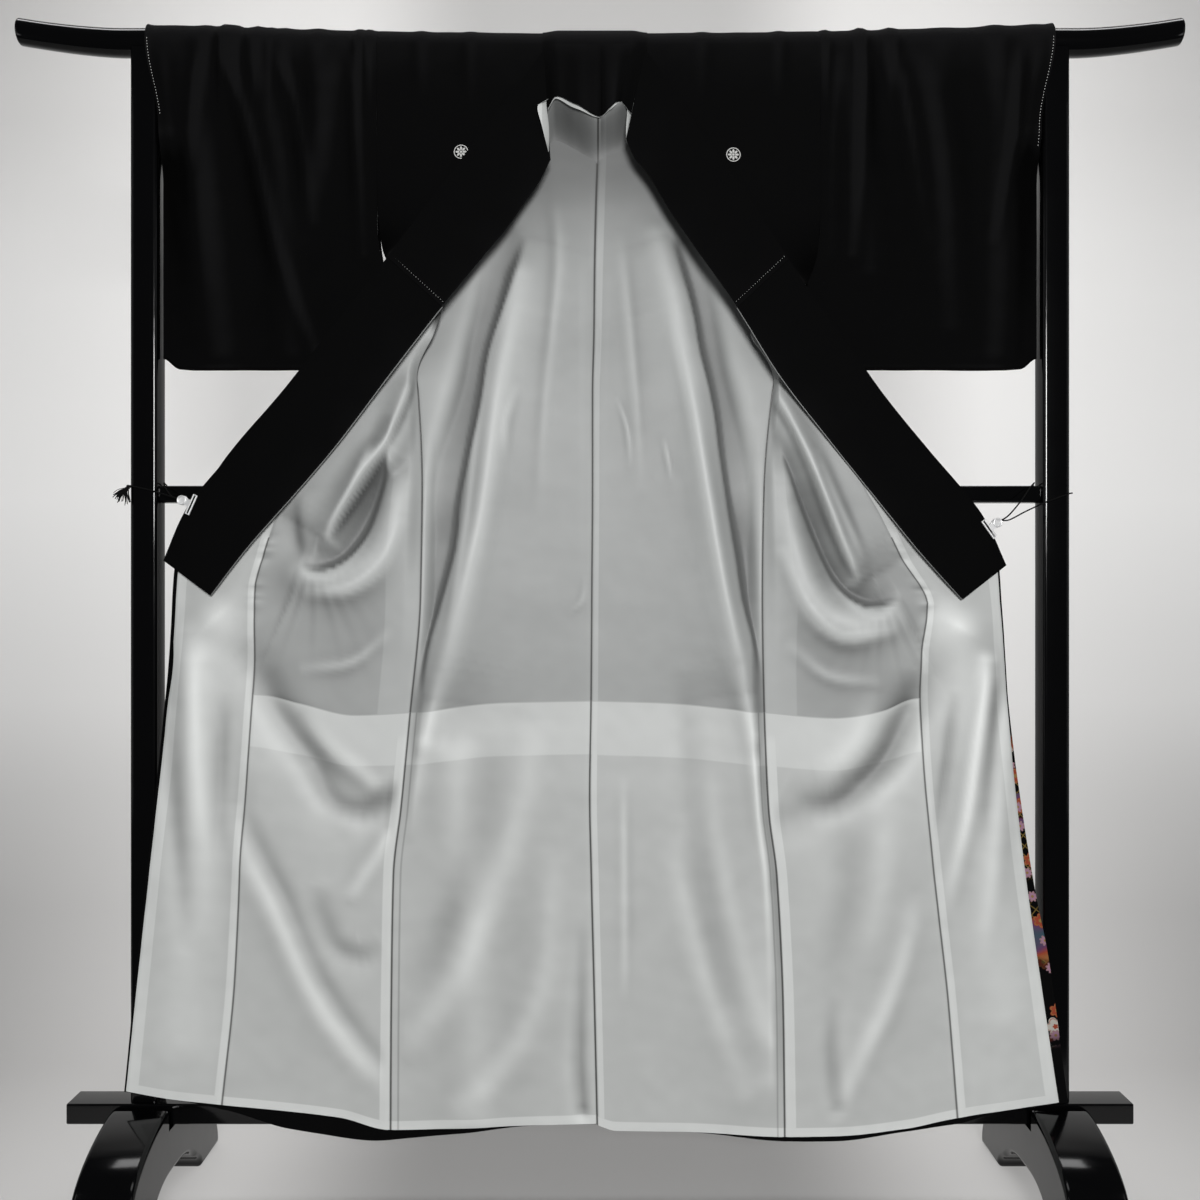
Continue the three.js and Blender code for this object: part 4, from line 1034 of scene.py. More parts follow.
def blossoms(silk, flat, ground, per_metre, shift, petals, tone, heart):
    """Round blossoms of one kind, strewn over a ground."""
    moved = silk.vector("ADD", flat, (shift, shift * 0.4, 0)).outputs[0]
    cell = silk.node(
        "ShaderNodeTexVoronoi", {"voronoi_dimensions": "2D"}, Vector=moved, Scale=per_metre,
        Randomness=BLOSSOM_SPREAD,
    )
    away = silk.vector("SUBTRACT", moved, cell.outputs["Position"]).outputs[0]
    parts = silk.node("ShaderNodeSeparateXYZ", {}, away)
    angle = silk.value(parts, "Y").maths("ARCTAN2", silk.value(parts, "Y"), silk.value(parts, "X"))
    pick = silk.value(silk.node("ShaderNodeSeparateColor", {}, cell.outputs["Color"]), "Red")
    petal = abs((angle * (petals / 2)).sine()) * 0.35 + 0.65
    share = silk.value(cell, "Distance") / per_metre / (petal * (BLOSSOM_RADIUS / per_metre))
    bloom = (1 - share.step(0.92, 1.0)) * pick.step(0.52, 0.56)
    middle = 1 - share.step(0.24, 0.30)
    return silk.mix(bloom, ground, silk.mix(share.band(0.78, 0.86, 0.03).most(middle), tone, heart))


def lining_finish(name, tone, lower):
    """Smooth white lining silk, paler where the turnings lie behind it, with painted shade in hollows, under
    the neck and in the armhole, and painted highlights on crests.
    """
    sheen = {"Sheen Weight": 0.08, "Sheen Roughness": 0.4, "Specular IOR Level": 0.35}
    silk = Finish(name, Roughness=0.5, **sheen)
    across, up, flat = silk.flat_cut()
    span = abs(across)
    back, front = BACK_WIDTH * MM, (BACK_WIDTH + FRONT_WIDTH) * MM
    edge = front + OVERLAP_WIDTH * MM
    turning = across.band(0.003, 0.012, 0.001) * 0.8
    shown = 1 - up.step(0.98, 1.0)
    turning = turning.most(span.band(front + 0.001, front + 0.013, 0.0015) * shown)
    turning = turning.most(span.band(edge - 0.019, edge + 0.05, 0.0015))
    side = span.band(back + 0.002, back + 0.016, 0.001)
    seams = [(abs(across), 0.9), (abs(span - back), 0.85), (abs(span - front) + (1 - shown), 0.75)]
    if lower:
        turning = turning.most(side * up.step(JOIN * MM, JOIN * MM - 0.05) * 0.9)
        joined = 1 - span.step(front - 0.001, front)
        turning = turning.most(up.band(JOIN * MM - 0.078, JOIN * MM + 0.1, 0.0015) * joined * 0.6)
        turning = turning.most(1 - up.step(HEM * MM + 0.012, HEM * MM + 0.014))
        seams += [(abs(span - back + 0.011), 0.3), (abs(up - JOIN * MM) + (1 - joined), 0.3)]
    else:
        wide = span.band(back + 0.002, back + 0.050, 0.0015) * (1 - up.step(1.02, 1.12))
        turning = turning.most(wide * 0.55)
    line = silk.number(0.0)
    for distance, strength in seams:
        line = line.most((1 - distance.step(0.0006, 0.0022)) * strength)
    weave = silk.noise(silk.stretched(flat, 1.0, 0.2, 1.0), 2600, 2, 0.6)
    cloud = silk.noise(flat, 5, 3)
    plain = colour(tone)
    base = silk.mix(cloud * 0.25 + weave * 0.15, plain, scaled(plain, 0.93))
    turning = turning.most(span.step(front - 0.004, front + 0.03) * 0.3 * shown)
    base = silk.mix(turning, base, scaled(plain, 1.3))
    # Painted shade in the relief map's hollows and painted highlights on its crests.
    relief = silk.relief()
    base = silk.mix(((0.5 - relief) * 2.0).most(0.0) * 0.8, base, scaled(plain, 0.25))
    base = silk.mix(((relief - 0.5) * 2.0).most(0.0) * 0.8, base, scaled(plain, 1.8))
    # Painted shade: darker above 1.385 m on the flat cut, under the neck; the sleeve linings and the inner
    # collar strips, cut higher on the flat, carry it all over.
    base = silk.mix(up.step(1.385, 1.56) * 0.62, base, scaled(plain, 0.08))
    # Painted shade: a near-black band across the side seam above 1.27 m on the flat cut, for the lining in
    # shade inside the armhole; the sleeve linings, cut higher on the flat, carry the band too.
    armhole_shade = span.band(back - 0.03, back + 0.012, 0.004) * up.step(1.27, 1.3)
    base = silk.mix(armhole_shade * 0.9, base, (0.02, 0.02, 0.018))
    silk.set(Base_Color=silk.mix(line, base, (0.03, 0.03, 0.028)))
    silk.set(Roughness=weave * 0.1 + 0.42)
    silk.bump(weave + silk.noise(flat, 70, 2) * 1.5, 0.00025, 0.4)
    return silk.material


def chrome_finish():
    """Polished chrome with fine handling marks."""
    chrome = Finish("chrome", Metallic=0.6, Roughness=0.1, **{"Base Color": (0.95, 0.95, 0.95)})
    where = chrome.place()
    marks = chrome.noise(chrome.stretched(where, 1.0, 6.0, 1.0), 900, 3)
    chrome.set(Roughness=marks * 0.12 + 0.26)
    chrome.bump(marks, 0.0001, 0.2)
    return chrome.material


def cord_finish():
    """Black twisted cord."""
    black = {"Base Color": (0.003, 0.003, 0.003), "Specular IOR Level": 0.1}
    cord = Finish("black cord", Roughness=0.9, **black)
    where = cord.place()
    twist = cord.noise(cord.stretched(where, 1.0, 1.0, 2.0), 1600, 2)
    cord.set(Base_Color=cord.mix(twist, (0.002, 0.002, 0.002), (0.007, 0.007, 0.007)))
    cord.bump(twist, 0.0004, 0.7)
    return cord.material


def thread_finish():
    """Pale basting thread and resist-dyed white."""
    shade = bpy.context.scene.kimono_colours
    thread = Finish("white thread", Roughness=0.7)
    where = thread.place()
    strand = thread.noise(where, 2200, 2)
    white = colour(shade.thread)
    thread.set(Base_Color=thread.mix(strand, scaled(white, 0.75), white))
    thread.bump(strand, 0.0002, 0.5)
    return thread.material


FINISHES = {}


def finish(name):
    """One of the object's finishes, made the first time it is asked for."""
    shade = bpy.context.scene.kimono_colours
    makers = {
        "lacquer": lacquer_finish,
        "black silk": lambda: black_silk_finish("black silk crepe"),
        "worked silk": lambda: black_silk_finish("black silk crepe with a worked hem", True),
        "upper lining": lambda: lining_finish("upper lining silk", shade.upper_lining, False),
        "lower lining": lambda: lining_finish("lower lining silk", shade.lower_lining, True),
        "chrome": chrome_finish,
        "cord": cord_finish,
        "thread": thread_finish,
    }
    if name not in FINISHES:
        FINISHES[name] = makers[name]()
    return FINISHES[name]


# ---------------------------------------------------------------- the stand


RAIL_STATIONS, RAIL_SIDES, RAIL_END = 181, 56, 3
EASE_STEPS, BAR_EASE, BEAM_EASE, BEAM_CORNER = 5, 0.4, 2.0, 2.5
POST_HOLLOW, POST_REACH = RAIL_RADIUS + 0.5, 20.5


def round_box(width, depth, corner, steps=6):
    """A rounded rectangle's outline."""
    points = []
    for k, (x, y) in enumerate(((1, 1), (-1, 1), (-1, -1), (1, -1))):
        middle = x * (width / 2 - corner), y * (depth / 2 - corner)
        for step in range(steps + 1):
            turn = math.pi / 2 * (k + step / steps)
            points.append((middle[0] + corner * math.cos(turn), middle[1] + corner * math.sin(turn)))
    return points


def lofted(name, rings, look):
    """A closed solid through rings of the same number of points."""
    rings = np.asarray(rings, float)
    count, width = rings.shape[:2]
    faces, sharp = [], []
    for i in range(count - 1):
        for j in range(width):
            a, b = i * width + j, i * width + (j + 1) % width
            faces.append((a, b, b + width, a + width))
    faces.append(tuple(range(width))[::-1])
    faces.append(tuple(range((count - 1) * width, count * width)))
    for start in (0, (count - 1) * width):
        sharp += [(start + j, start + (j + 1) % width) for j in range(width)]
    return finished(mesh_of(name, rings.reshape(-1, 3), faces, np.array(sharp)), name, look)


def prism(name, outline, half, ease, look):
    """An outline in Y and Z carried along X to both sides of the middle, with eased ends."""
    turns = [math.pi / 2 * k / EASE_STEPS for k in range(EASE_STEPS + 1)]
    rings = []
    for sign in (-1, 1):
        for turn in turns[::-sign]:
            x = sign * (half - ease * (1 - math.cos(turn)))
            rings.append([(x, y, z) for y, z in inset_outline(outline, ease * (1 - math.sin(turn)))])
    return lofted(name, rings, look)


def inset_outline(outline, inset):
    """An outline drawn in by a distance, corner by corner."""
    points = np.asarray(outline, float)
    before, after = np.roll(points, 1, axis=0), np.roll(points, -1, axis=0)
    one, two = points - before, after - points
    one /= np.linalg.norm(one, axis=1, keepdims=True)
    two /= np.linalg.norm(two, axis=1, keepdims=True)
    normal = np.stack([one[:, 1] + two[:, 1], -one[:, 0] - two[:, 0]], axis=1)
    normal /= np.linalg.norm(normal, axis=1, keepdims=True)
    square = normal[:, 0] * one[:, 1] - normal[:, 1] * one[:, 0]
    return points - normal * (inset / np.clip(square, 0.5, None))[:, None]


def curve_points(path, steps=12):
    """Points on a path of straight lines and cubic curves."""
    points = [path[0]]
    for part in path[1:]:
        if len(part) == 2:
            points.append(part)
            continue
        start = np.array(points[-1], float)
        a, b, end = (np.array(part[k : k + 2], float) for k in (0, 2, 4))
        for step in range(1, steps + 1):
            t = step / steps
            point = (1 - t) ** 3 * start + 3 * t * (1 - t) ** 2 * a + 3 * t * t * (1 - t) * b + t**3 * end
            points.append(tuple(point))
    return points


def foot_outline():
    """An arched foot board from the side: humped over the beam, arched below, flat at its tips."""
    notch, pad = BEAM_DEPTH / 2 + GAP, ARCH_HALF + ARCH_STEP
    half = [
        (notch, BEAM_BOTTOM - GAP), (notch, FOOT_RISE - 3), (notch + 3, FOOT_RISE),
        (notch + FOOT_SHOULDER, FOOT_RISE, FOOT_HALF - 52, 128, FOOT_HALF - 26, 72),
        (FOOT_HALF - 14, 48, FOOT_HALF, FOOT_TIP, FOOT_HALF, 8), (FOOT_HALF - 3, 0), (pad, 0),
        (pad - 4, 18, ARCH_HALF + 8, 22, ARCH_HALF, 30), (60, ARCH_HEIGHT, 30, ARCH_HEIGHT, 0, ARCH_HEIGHT),
    ]
    right = curve_points(half)
    left = [(-x, z) for x, z in right[::-1][1:]]
    return (right + left)[::-1]


class KIMONO_OT_stand(bpy.types.Operator):
    """Builds the lacquered rail, posts, bars and arched feet"""

    bl_idname = "kimono.stand"
    bl_label = "Stand"

    def execute(self, context):
        look = finish("lacquer")
        ease = context.scene.kimono_sizes.lacquer_edge / MM
        self.rail(look)
        for side, sign in (("left", -1), ("right", 1)):
            self.post(side, sign * POST_X, look)
            foot = prism(f"foot_{side}_lacquered", foot_outline(), FOOT_WIDTH / 2, ease, look)
            foot.data.transform(Matrix.Translation((sign * POST_X * MM, 0, 0)))
            stand_for(foot, f"foot_{side}")
        between = POST_X - POST_WIDTH / 2 - GAP
        for node, depth, height, corner, bottom, half, ease in (
            ("mid_bar", BAR_SIZE, BAR_SIZE, BAR_CORNER, BAR_BOTTOM, between, BAR_EASE),
            ("base_beam", BEAM_DEPTH, BEAM_THICKNESS, BEAM_CORNER, BEAM_BOTTOM, BEAM_HALF, BEAM_EASE),
        ):
            outline = [(y, z + bottom + height / 2) for y, z in round_box(depth, height, corner)]
            stand_for(prism(f"{node}_lacquered", outline, half, ease, look), node)
        return {"FINISHED"}

    def post(self, side, x, look):
        """A post from the base beam to the rail, hollowed at its top to take the rail."""
        outline = np.array(round_box(POST_WIDTH, POST_WIDTH, POST_CORNER, 8))
        reach = np.clip(outline[:, 1], -POST_REACH, POST_REACH)
        top = np.minimum(RAIL_HEIGHT - np.sqrt(POST_HOLLOW**2 - reach**2), POST_TOP)
        beam_top = BEAM_BOTTOM + BEAM_THICKNESS + GAP
        rings = [place_on((x + outline[:, 0], outline[:, 1], z)) for z in (beam_top, top)]
        stand_for(lofted(f"post_{side}_lacquered", rings, look), f"post_{side}")

    def rail(self, look):
        """The round rail, thinner and raised towards its rounded ends."""
        inner = RAIL_HALF - RAIL_END
        turns = np.linspace(0, math.pi / 2, 6)[1:]
        ends = [(inner + RAIL_END * math.sin(turn), 1 - 0.15 * (1 - math.cos(turn))) for turn in turns]
        middle = [(x, 1) for x in np.linspace(-inner, inner, RAIL_STATIONS)]
        turn = 2 * math.pi * np.arange(RAIL_SIDES) / RAIL_SIDES
        rings = []
        for x, scale in [(-x, scale) for x, scale in ends[::-1]] + middle + ends:
            radius = scale * lerp(RAIL_RADIUS, TIP_RADIUS, float(smooth(abs(x), POST_X, RAIL_HALF)))
            z = RAIL_HEIGHT + float(rail_rise(x))
            rings.append(place_on((x, radius * np.cos(turn), z + radius * np.sin(turn))))
        stand_for(lofted("rail_lacquered", rings, look), "top_rail")


# ---------------------------------------------------------------- the body


def dressed_panel(name, side, surface, s, h, at, look, thick, width):
    """Builds a panel: dips at its seams, soft unevenness, then a closed thin cloth."""
    columns, rows = np.meshgrid(s, h)
    points = surface(side, columns, rows)
    shell = at > 0
    if shell:
        points = let_out(side, points, columns, rows, s[-1] == 3)
    turned = side == "right"
    normals = cloth_normals(points, turned)
    dip = sum(seam_dip((columns - seam) * width) for seam in (s[0], s[-1])) * (-0.15 if shell else 0.5)
    soft = ripple(points, 60, 3, 0.7) + ripple(points, 24, 5, 0.25)
    points = points + normals * (np.clip(dip, -0.3, 0.8) + np.clip(soft, -0.6, 0.6))[..., None]
    return cloth(name, points, normals, at, at + thick, flat_place(side, columns, rows), look, turned)


PANELS = {
    "back": (back_surface, 0, BACK_WIDTH),
    "front": (front_surface, 1, FRONT_WIDTH),
    "overlap": (front_surface, 2, OVERLAP_WIDTH),
}
# The body's sheets: panel, solid, top and bottom row, depth, finish, slot and length.
BODY_SHEETS = (
    ("back_shell", "back", "back", SHOULDER, HEM, SHELL_AT, "worked silk", "black_silk", 1690),
    ("front_shell", "front", "front", SHOULDER, HEM, SHELL_AT, "worked silk", "black_silk", 1640),
    ("overlap_shell", "overlap", "overlap", OVERLAP_TIP, HEM, SHELL_AT, "worked silk", "black_silk", 1150),
    ("back_lining_upper", "back", "back_lining", SHOULDER, JOIN, 0.0, "upper lining", "grey_silk", 1010),
    ("back_lining_lower", "back", "back_hem_lining", JOIN, HEM, 0.0, "lower lining", "white_silk", 620),
    (
        "front_lining_upper", "front", "front_lining", FRONT_LINING_TOP, JOIN, 0.0, "upper lining",
        "grey_silk", 640,
    ),
    ("front_lining_lower", "front", "front_hem_lining", JOIN, HEM, 0.0, "lower lining", "white_silk", 620),
    (
        "overlap_lining", "overlap", "overlap_lining", OVERLAP_TIP, HEM, 0.0, "lower lining",
        "white_silk", 1150,
    ),
)


class KIMONO_OT_body(bpy.types.Operator):
    """Cuts and hangs the backs, fronts and overlaps, each a black shell with its white lining"""

    bl_idname = "kimono.body"
    bl_label = "Body"

    def execute(self, context):
        thick = context.scene.kimono_sizes.silk / MM
        rows = rows_down()
        for side in ("left", "right"):
            for name, part, node, top, low, at, look, slot, length in BODY_SHEETS:
                surface, start, width = PANELS[part]
                s = spread(start, start + 1, COLUMNS[part], 0.4)
                h = rows[(rows <= top) & (rows >= low)]
                piece = dressed_panel(f"{name}_{side}", side, surface, s, h, at, finish(look), thick, width)
                declare(piece, width, length, f"{node}_{side}")
        return {"FINISHED"}


# ---------------------------------------------------------------- the sleeves


SLEEVE_SEAM, SLEEVE_LEAN = {"left": 326.3, "right": 322.3}, {"left": 12, "right": 20}
LEAN_FADE = 1330, 1440  # the lean is whole below these heights and gone above
SLEEVE_AHEAD = 60  # a sleeve takes on the rail's curve this much lower than the body
SLEEVE_BACK_SHARE = 0.7  # of the folds, on a sleeve's back layer
SLEEVE_LENGTH, SLEEVE_LINING_WIDTH = 980, 334
SLEEVE_CUT = 2000  # where the sleeves lie on the flat cut, clear of the body, so that their weave differs


def sleeve_depth(out, z):
    """Half the distance between a sleeve's two layers, closing to the folded edge below the cuff."""
    hang = lerp(SLEEVE_HANG, CLOTH_RADIUS, smooth(z, SLEEVE_BOTTOM, RAIL_HEIGHT - 12) ** 0.8)
    opened = smooth(z, CUFF_OPENING, CUFF_OPENING + CUFF_RISE)
    closed = smooth(out, CUFF_END - 70, CUFF_END) * (1 - opened)
    wide = opened * smooth(out, CUFF_END - 60, CUFF_END)
    return lerp(lerp(hang, CLOTH_RADIUS, wide), 0.5, closed)


def sleeve_place(side, t, fraction):
    """How far out and how high: t from the seam to the cuff, fraction from the bottom to the rail."""
    out = lerp(SLEEVE_SEAM[side], CUFF_END, t)
    corner = SLEEVE_CORNER * smooth(out, CUFF_END - SLEEVE_CORNER, CUFF_END) * 0.6
    z = lerp(SLEEVE_BOTTOM + corner, RAIL_HEIGHT, fraction)
    lean = SLEEVE_LEAN[side] * (1 - smooth(z, *LEAN_FADE)) * (1 - smooth(t, 0, 0.15))
    flare = CUFF_FLARE * smooth(z, CUFF_OPENING + CUFF_RISE, RAIL_HEIGHT) * smooth(t, 0.7, 1)
    return out - lean + flare, z


def sleeve_fold(side, out, z):
    """How far a sleeve's folds stand out at some places. They fade out at the rail."""
    return lift(SLEEVE_CREASES[side] + SLEEVE_FOLDS[side], out, z) * smooth(RAIL_HEIGHT - z, 0, 60)


def sleeve_ring(side, t):
    """One ring round a sleeve: its bottom fold, front layer, the fold over the rail, back layer."""
    out, z = sleeve_place(side, t, np.concatenate([[0, 0.004, 0.01, 0.02], np.linspace(0.034, 1, 66)]))
    ends = smooth(t, 0, 0.12) * (1 - smooth(t, 0.88, 1))
    tuck = rail_tucks(side_x(side, out)) * smooth(z, SLEEVE_TUCK_FROM, RAIL_HEIGHT)
    fold = sleeve_fold(side, out, z) * ends
    depth = sleeve_depth(out, z)
    front = hung(side, out, -(depth + fold + tuck), z, z + SLEEVE_AHEAD)
    behind = hung(side, out, depth + fold * SLEEVE_BACK_SHARE + tuck, z, z + SLEEVE_AHEAD)
    turn = np.radians(np.arange(10, 180, 10))
    top_out, top_z = sleeve_place(side, t, np.ones_like(turn))
    radius = CLOTH_RADIUS + rail_tucks(side_x(side, top_out))
    arc = hung(side, top_out, -radius * np.cos(turn), top_z + radius * np.sin(turn), RAIL_HEIGHT)
    low_out, low_z = sleeve_place(side, t, np.zeros(1))
    bottom = hung(side, low_out, 0, low_z - np.minimum(3, sleeve_depth(low_out, low_z)), low_z)
    return np.concatenate([bottom, front, arc, behind[::-1]])


class KIMONO_OT_sleeves(bpy.types.Operator):
    """Hangs the two sleeves over the rail, each a folded shell with its lining inside"""

    bl_idname = "kimono.sleeves"
    bl_label = "Sleeves"

    def execute(self, context):
        thick = context.scene.kimono_sizes.silk / MM
        stations = spread(0, 1, COLUMNS["sleeve"], 0.3)
        inside = (stations > 0.008) & (stations < 0.992)
        for side in ("left", "right"):
            turned = side == "left"
            points = np.stack([sleeve_ring(side, t) for t in stations])
            normals = cloth_normals(points, turned, ring=True)
            soft = ripple(points, 70, 9, 0.9) + ripple(points, 26, 11, 0.3)
            shaped = points + normals * np.clip(soft, -0.5, 0.9)[..., None]
            around = np.linspace(0, 1020, points.shape[1])
            flat = np.stack(np.meshgrid(stations * SLEEVE_WIDTH, around + SLEEVE_CUT, indexing="ij"), axis=-1)
            whole = stations >= 0
            for name, node, kept, grid, at, look, width, slot in (
                ("sleeve_shell", "sleeve", whole, shaped, SHELL_AT, "black silk", SLEEVE_WIDTH, "black_silk"),
                (
                    "sleeve_lining_inner", "sleeve_lining", inside, points, 0.0, "upper lining",
                    SLEEVE_LINING_WIDTH, "grey_silk",
                ),
            ):
                piece = cloth(
                    f"{name}_{side}", grid[kept], normals[kept], at, at + thick, flat[kept], finish(look),
                    turned, ring=True,
                )
                declare(piece, width, SLEEVE_LENGTH, f"{node}_{side}")
        return {"FINISHED"}


# ---------------------------------------------------------------- the collar

NECK_ENDS_X = -81, 65
NECKLINE = table("top low free", [
    [-81, -76, 1606], [-66, -64, 1622], [-36, -35, 1610], [-4, -3, 1595],
    [20, 15, 1606], [42, 29, 1615], [65, 45.5, 1600],
])
# Bumps across the neck: where, how high, how wide. First its folds, then the white rim below it.
NECK_FOLDS = [(-62, 4.0, 16), (-30, 5.0, 17), (4, -5.0, 9), (30, 5.5, 13)]
NECK_RIM, RIM_WIDTH = [(-42, 5.0, 26), (27, 2.6, 12)], 0.6
# The white crescents at the neck's ends: outer line, inner line, depth and flat length.
CRESCENTS = {
    "left": (
        [[-80, 1612], [-90.5, 1604], [-84, 1576], [-75, 1540]],
        [[-74, 1618], [-78, 1612], [-74, 1575], [-74, 1540]], -38.0, 76,
    ),
    "right": (
        [[40.5, 1612], [39.5, 1600], [38, 1578], [38, 1558]],
        [[46, 1610], [47, 1600], [47, 1578], [46, 1552]], -23.0, 56,
    ),
}
STATION_APART = 75  # on the flat cut
# Where pieces lie on the flat cut, clear of one another, so that their weave differs.
COLLAR_CUT, NECK_CUT = 4000, 5000


def collar_points(side, k, t, forward):
    """Places on a collar strip: station k, and t from the sewn edge (0) to the free edge (1)."""
    stations = COLLAR_STATIONS[side]
    stations["by"] = np.arange(len(stations["seam"]), dtype=float)
    x = side_x(side, lerp(along(stations, "seam", k), along(stations, "free", k), t))
    y = lerp(along(stations, "seamY", k), along(stations, "freeY", k), t) - forward
    z = lerp(along(stations, "seamZ", k), along(stations, "freeZ", k), t)
    return place_on((x, y, z))


def folded_across(thick):
    """Across a strip folded in two lengthwise: front layer, the rounded free edge, back layer."""
    radius = COLLAR_HALF - thick / 2
    turn = np.radians(np.linspace(90, -90, 9))
    bend = radius / COLLAR_WIDTH
    layer = spread(0, 1 - bend, 24, 0.6)[:-1]
    flat = np.ones_like(layer)
    t = np.concatenate([layer, 1 - bend + bend * np.cos(turn), layer[::-1]])
    return t, radius * np.concatenate([flat, np.sin(turn), -flat])


def strip(name, side, start, end, forward, across, near, far, look, soft=0.5):
    """A flat strip of the collar: one thin cloth, between two distances from its own surface."""
    k = np.linspace(start, end, int((end - start) * 16) + 2)
    t_across, offset = across
    t, k = np.meshgrid(t_across, k)
    points = collar_points(side, k, t, forward)
    turned = side == "right"
    plain = collar_points(side, k, np.broadcast_to(np.linspace(0, 1, t.shape[1]), t.shape), forward)
    normals = cloth_normals(plain, turned)
    wave = ripple(points, 45, 21, soft) + ripple(points, 90, 23, soft) + offset
    points = points + normals * wave[..., None]
    if offset.any():
        normals = cloth_normals(points, turned)
    fold = np.concatenate([[0], np.cumsum(np.abs(np.diff(t_across)))]) * COLLAR_WIDTH
    flat = np.stack([np.broadcast_to(fold, t.shape), k * STATION_APART + COLLAR_CUT], axis=-1)
    return cloth(name, points, normals, near, far, flat, look, turned)


class KIMONO_OT_collar(bpy.types.Operator):
    """Lays the long collar, the over collar and the white inner collar"""

    bl_idname = "kimono.collar"
    bl_label = "Collar"

    def execute(self, context):
        black, white = finish("black silk"), finish("lower lining")
        thick = context.scene.kimono_sizes.silk / MM
        folded = folded_across(thick)
        single = np.linspace(0.6, 1.012, 12), np.zeros(12)
        for side in ("left", "right"):
            for name, node, start, end, forward, length in (
                ("over_collar_strip", "over_collar", 0, OVER_COLLAR_END, 1.0, 400),
                ("collar_strip", "collar", OVER_COLLAR_END, COLLAR_END, 0.0, 590),
            ):
                name = f"{name}_{side}"
                piece = strip(name, side, start, end, forward, folded, -thick / 2, thick / 2, black)
                declare(piece, 2 * COLLAR_WIDTH, length, f"{node}_{side}")
            name = f"inner_collar_strip_{side}"
            inner = strip(name, side, OVER_COLLAR_END, COLLAR_END, 0.0, single, -2.6, -1.8, white, 0.2)
            declare(inner, 45, 590, f"inner_collar_{side}")
        self.neck(black, white)
        return {"FINISHED"}

    def neck(self, black, white):
        """The back of the neck: sewn behind the rail's crest, hanging down its front in two lobes."""
        left, right = NECK_ENDS_X
        x = np.linspace(left, right, 70)
        low, free = along(NECKLINE, "low", x), along(NECKLINE, "free", x)
        top = np.interp(x, [left, -60, 45, right], [-84, -60, 45, 69])
        level = RAIL_HEIGHT + rail_rise(x)
        radius = CLOTH_RADIUS + 1.0 + 2.8 * smooth(x, left, -60) * smooth(-x, -right, -46)
        turns = np.radians(np.linspace(110, 0, 16))
        rows = [place_on((top, -radius * np.cos(turn), level + radius * np.sin(turn))) for turn in turns]
        for down in np.linspace(0, 1, 40)[1:]:
            swell = 1.5 * math.sin(math.pi * down) ** 0.7
            y = -radius - 2.4 * down - bumps(x, NECK_FOLDS) * down**0.8 - swell
            rows.append(place_on((lerp(top, low, down), y, lerp(level, free, down))))
        points = np.stack(rows)
        normals = cloth_normals(points, False)
        columns, lines = np.meshgrid(x, np.linspace(0, 160, len(rows)))
        flat = np.stack([columns, lines + NECK_CUT], axis=-1)
        piece = cloth("neck_collar", points, normals, 0.2, 2.2, flat, black, False)
        declare(piece, 150, 160, "over_collar_neck")
        self.neck_rim(points[-1], x, white)
        self.crescents(white)
        self.sloping_lining(points[-1], x)

    def neck_rim(self, edge, x, white):
        """The white edge that shows below the neck's two lobes."""
        rim = RIM_WIDTH + bumps(x, NECK_RIM)
        rows = [edge + place_on((0, 3.0, lerp(14, -rim, down))) for down in np.linspace(0, 1, 9)]
        self.white_edge("inner_collar_neck", np.stack(rows), 150, 20, white)

    def crescents(self, white):
        """The white slivers at the neck's two ends."""
        steps = np.linspace(0, 1, 5)
        for side, (outer, inner, depth, length) in CRESCENTS.items():
            outer, inner = np.array(outer), np.array(inner)
            flat = np.stack([smooth_line(lerp(outer, inner, step), 20) for step in steps], axis=1)
            points = place_on((flat[..., 0], depth + 5.0 * steps, flat[..., 1]))
            self.white_edge(f"inner_collar_end_{side}", points, 11, length, white)

    def white_edge(self, name, points, width, length, white):
        """A thin strip of the white inner collar, sewn to the neck."""
        cut = np.stack([points[..., 0] + 400, points[..., 2] - 1000], axis=-1)
        piece = cloth(name, points, facing(points, 1.0), 0.0, 0.6, cut, white, False)

    def sloping_lining(self, edge, x):
        """The lining from the neck's edge down to the panels behind it."""
        rows = []
        for step in np.linspace(0, 1, 16):
            z = edge[:, 2] + 3 - 66 * step
            behind = on_back(x, z)[0][:, 1]
            rows.append(place_on((x, lerp(edge[:, 1] + 3.5, behind + 1.5, 1 - (1 - step) ** 2), z)))
        points = np.stack(rows)
        # On the flat cut the top rows lie up to 110 mm lower, which weakens the lining's painted neck shade
        # near the rim.
        shaded = points[..., 2] - 110 * np.linspace(1, 0, len(rows))[:, None]
        flat = np.stack([points[..., 0] + 3, shaded], axis=-1)
        normals = cloth_normals(points, False)
        piece = cloth("neck_lining", points, normals, 0.0, 0.5, flat, finish("upper lining"), False)


# ---------------------------------------------------------------- crests and stitches


def side_of(x):
    """The side that some places lie on."""
    return "left" if x.flat[0] < 0 else "right"


def on_front(x, z):
    """Points of a front above the crossing at some places across and up, with normals towards the viewer."""
    side, out = side_of(x), np.abs(x)
    h = z - rail_rise(x) * rise_share(z)
    from_out, to_out = along(FRONT_SIDES[side], "side", h), along(FRONT_LINES[side], "overlap", h)
    points = front_surface(side, 1 + (out - from_out) / (to_out - from_out), h)
    return points, facing(points, -1.0)


def on_back(x, z):
    """Points of the backs at some places across and up, with normals away from the viewer."""
    h = z - rail_rise(x) * rise_share(z)
    points = np.empty((*x.shape, 3))
    for side, mask in (("left", x < -3), ("right", x >= -3)):
        out = side_x(side, x[mask])
        from_out, to_out = (along(BACK_LINES[side], name, h[mask]) for name in ("centre", "side"))
        s = np.clip((out - from_out) / (to_out - from_out), 0, 1)
        points[mask] = back_surface(side, s, h[mask])
    return points, facing(points, 1.0)


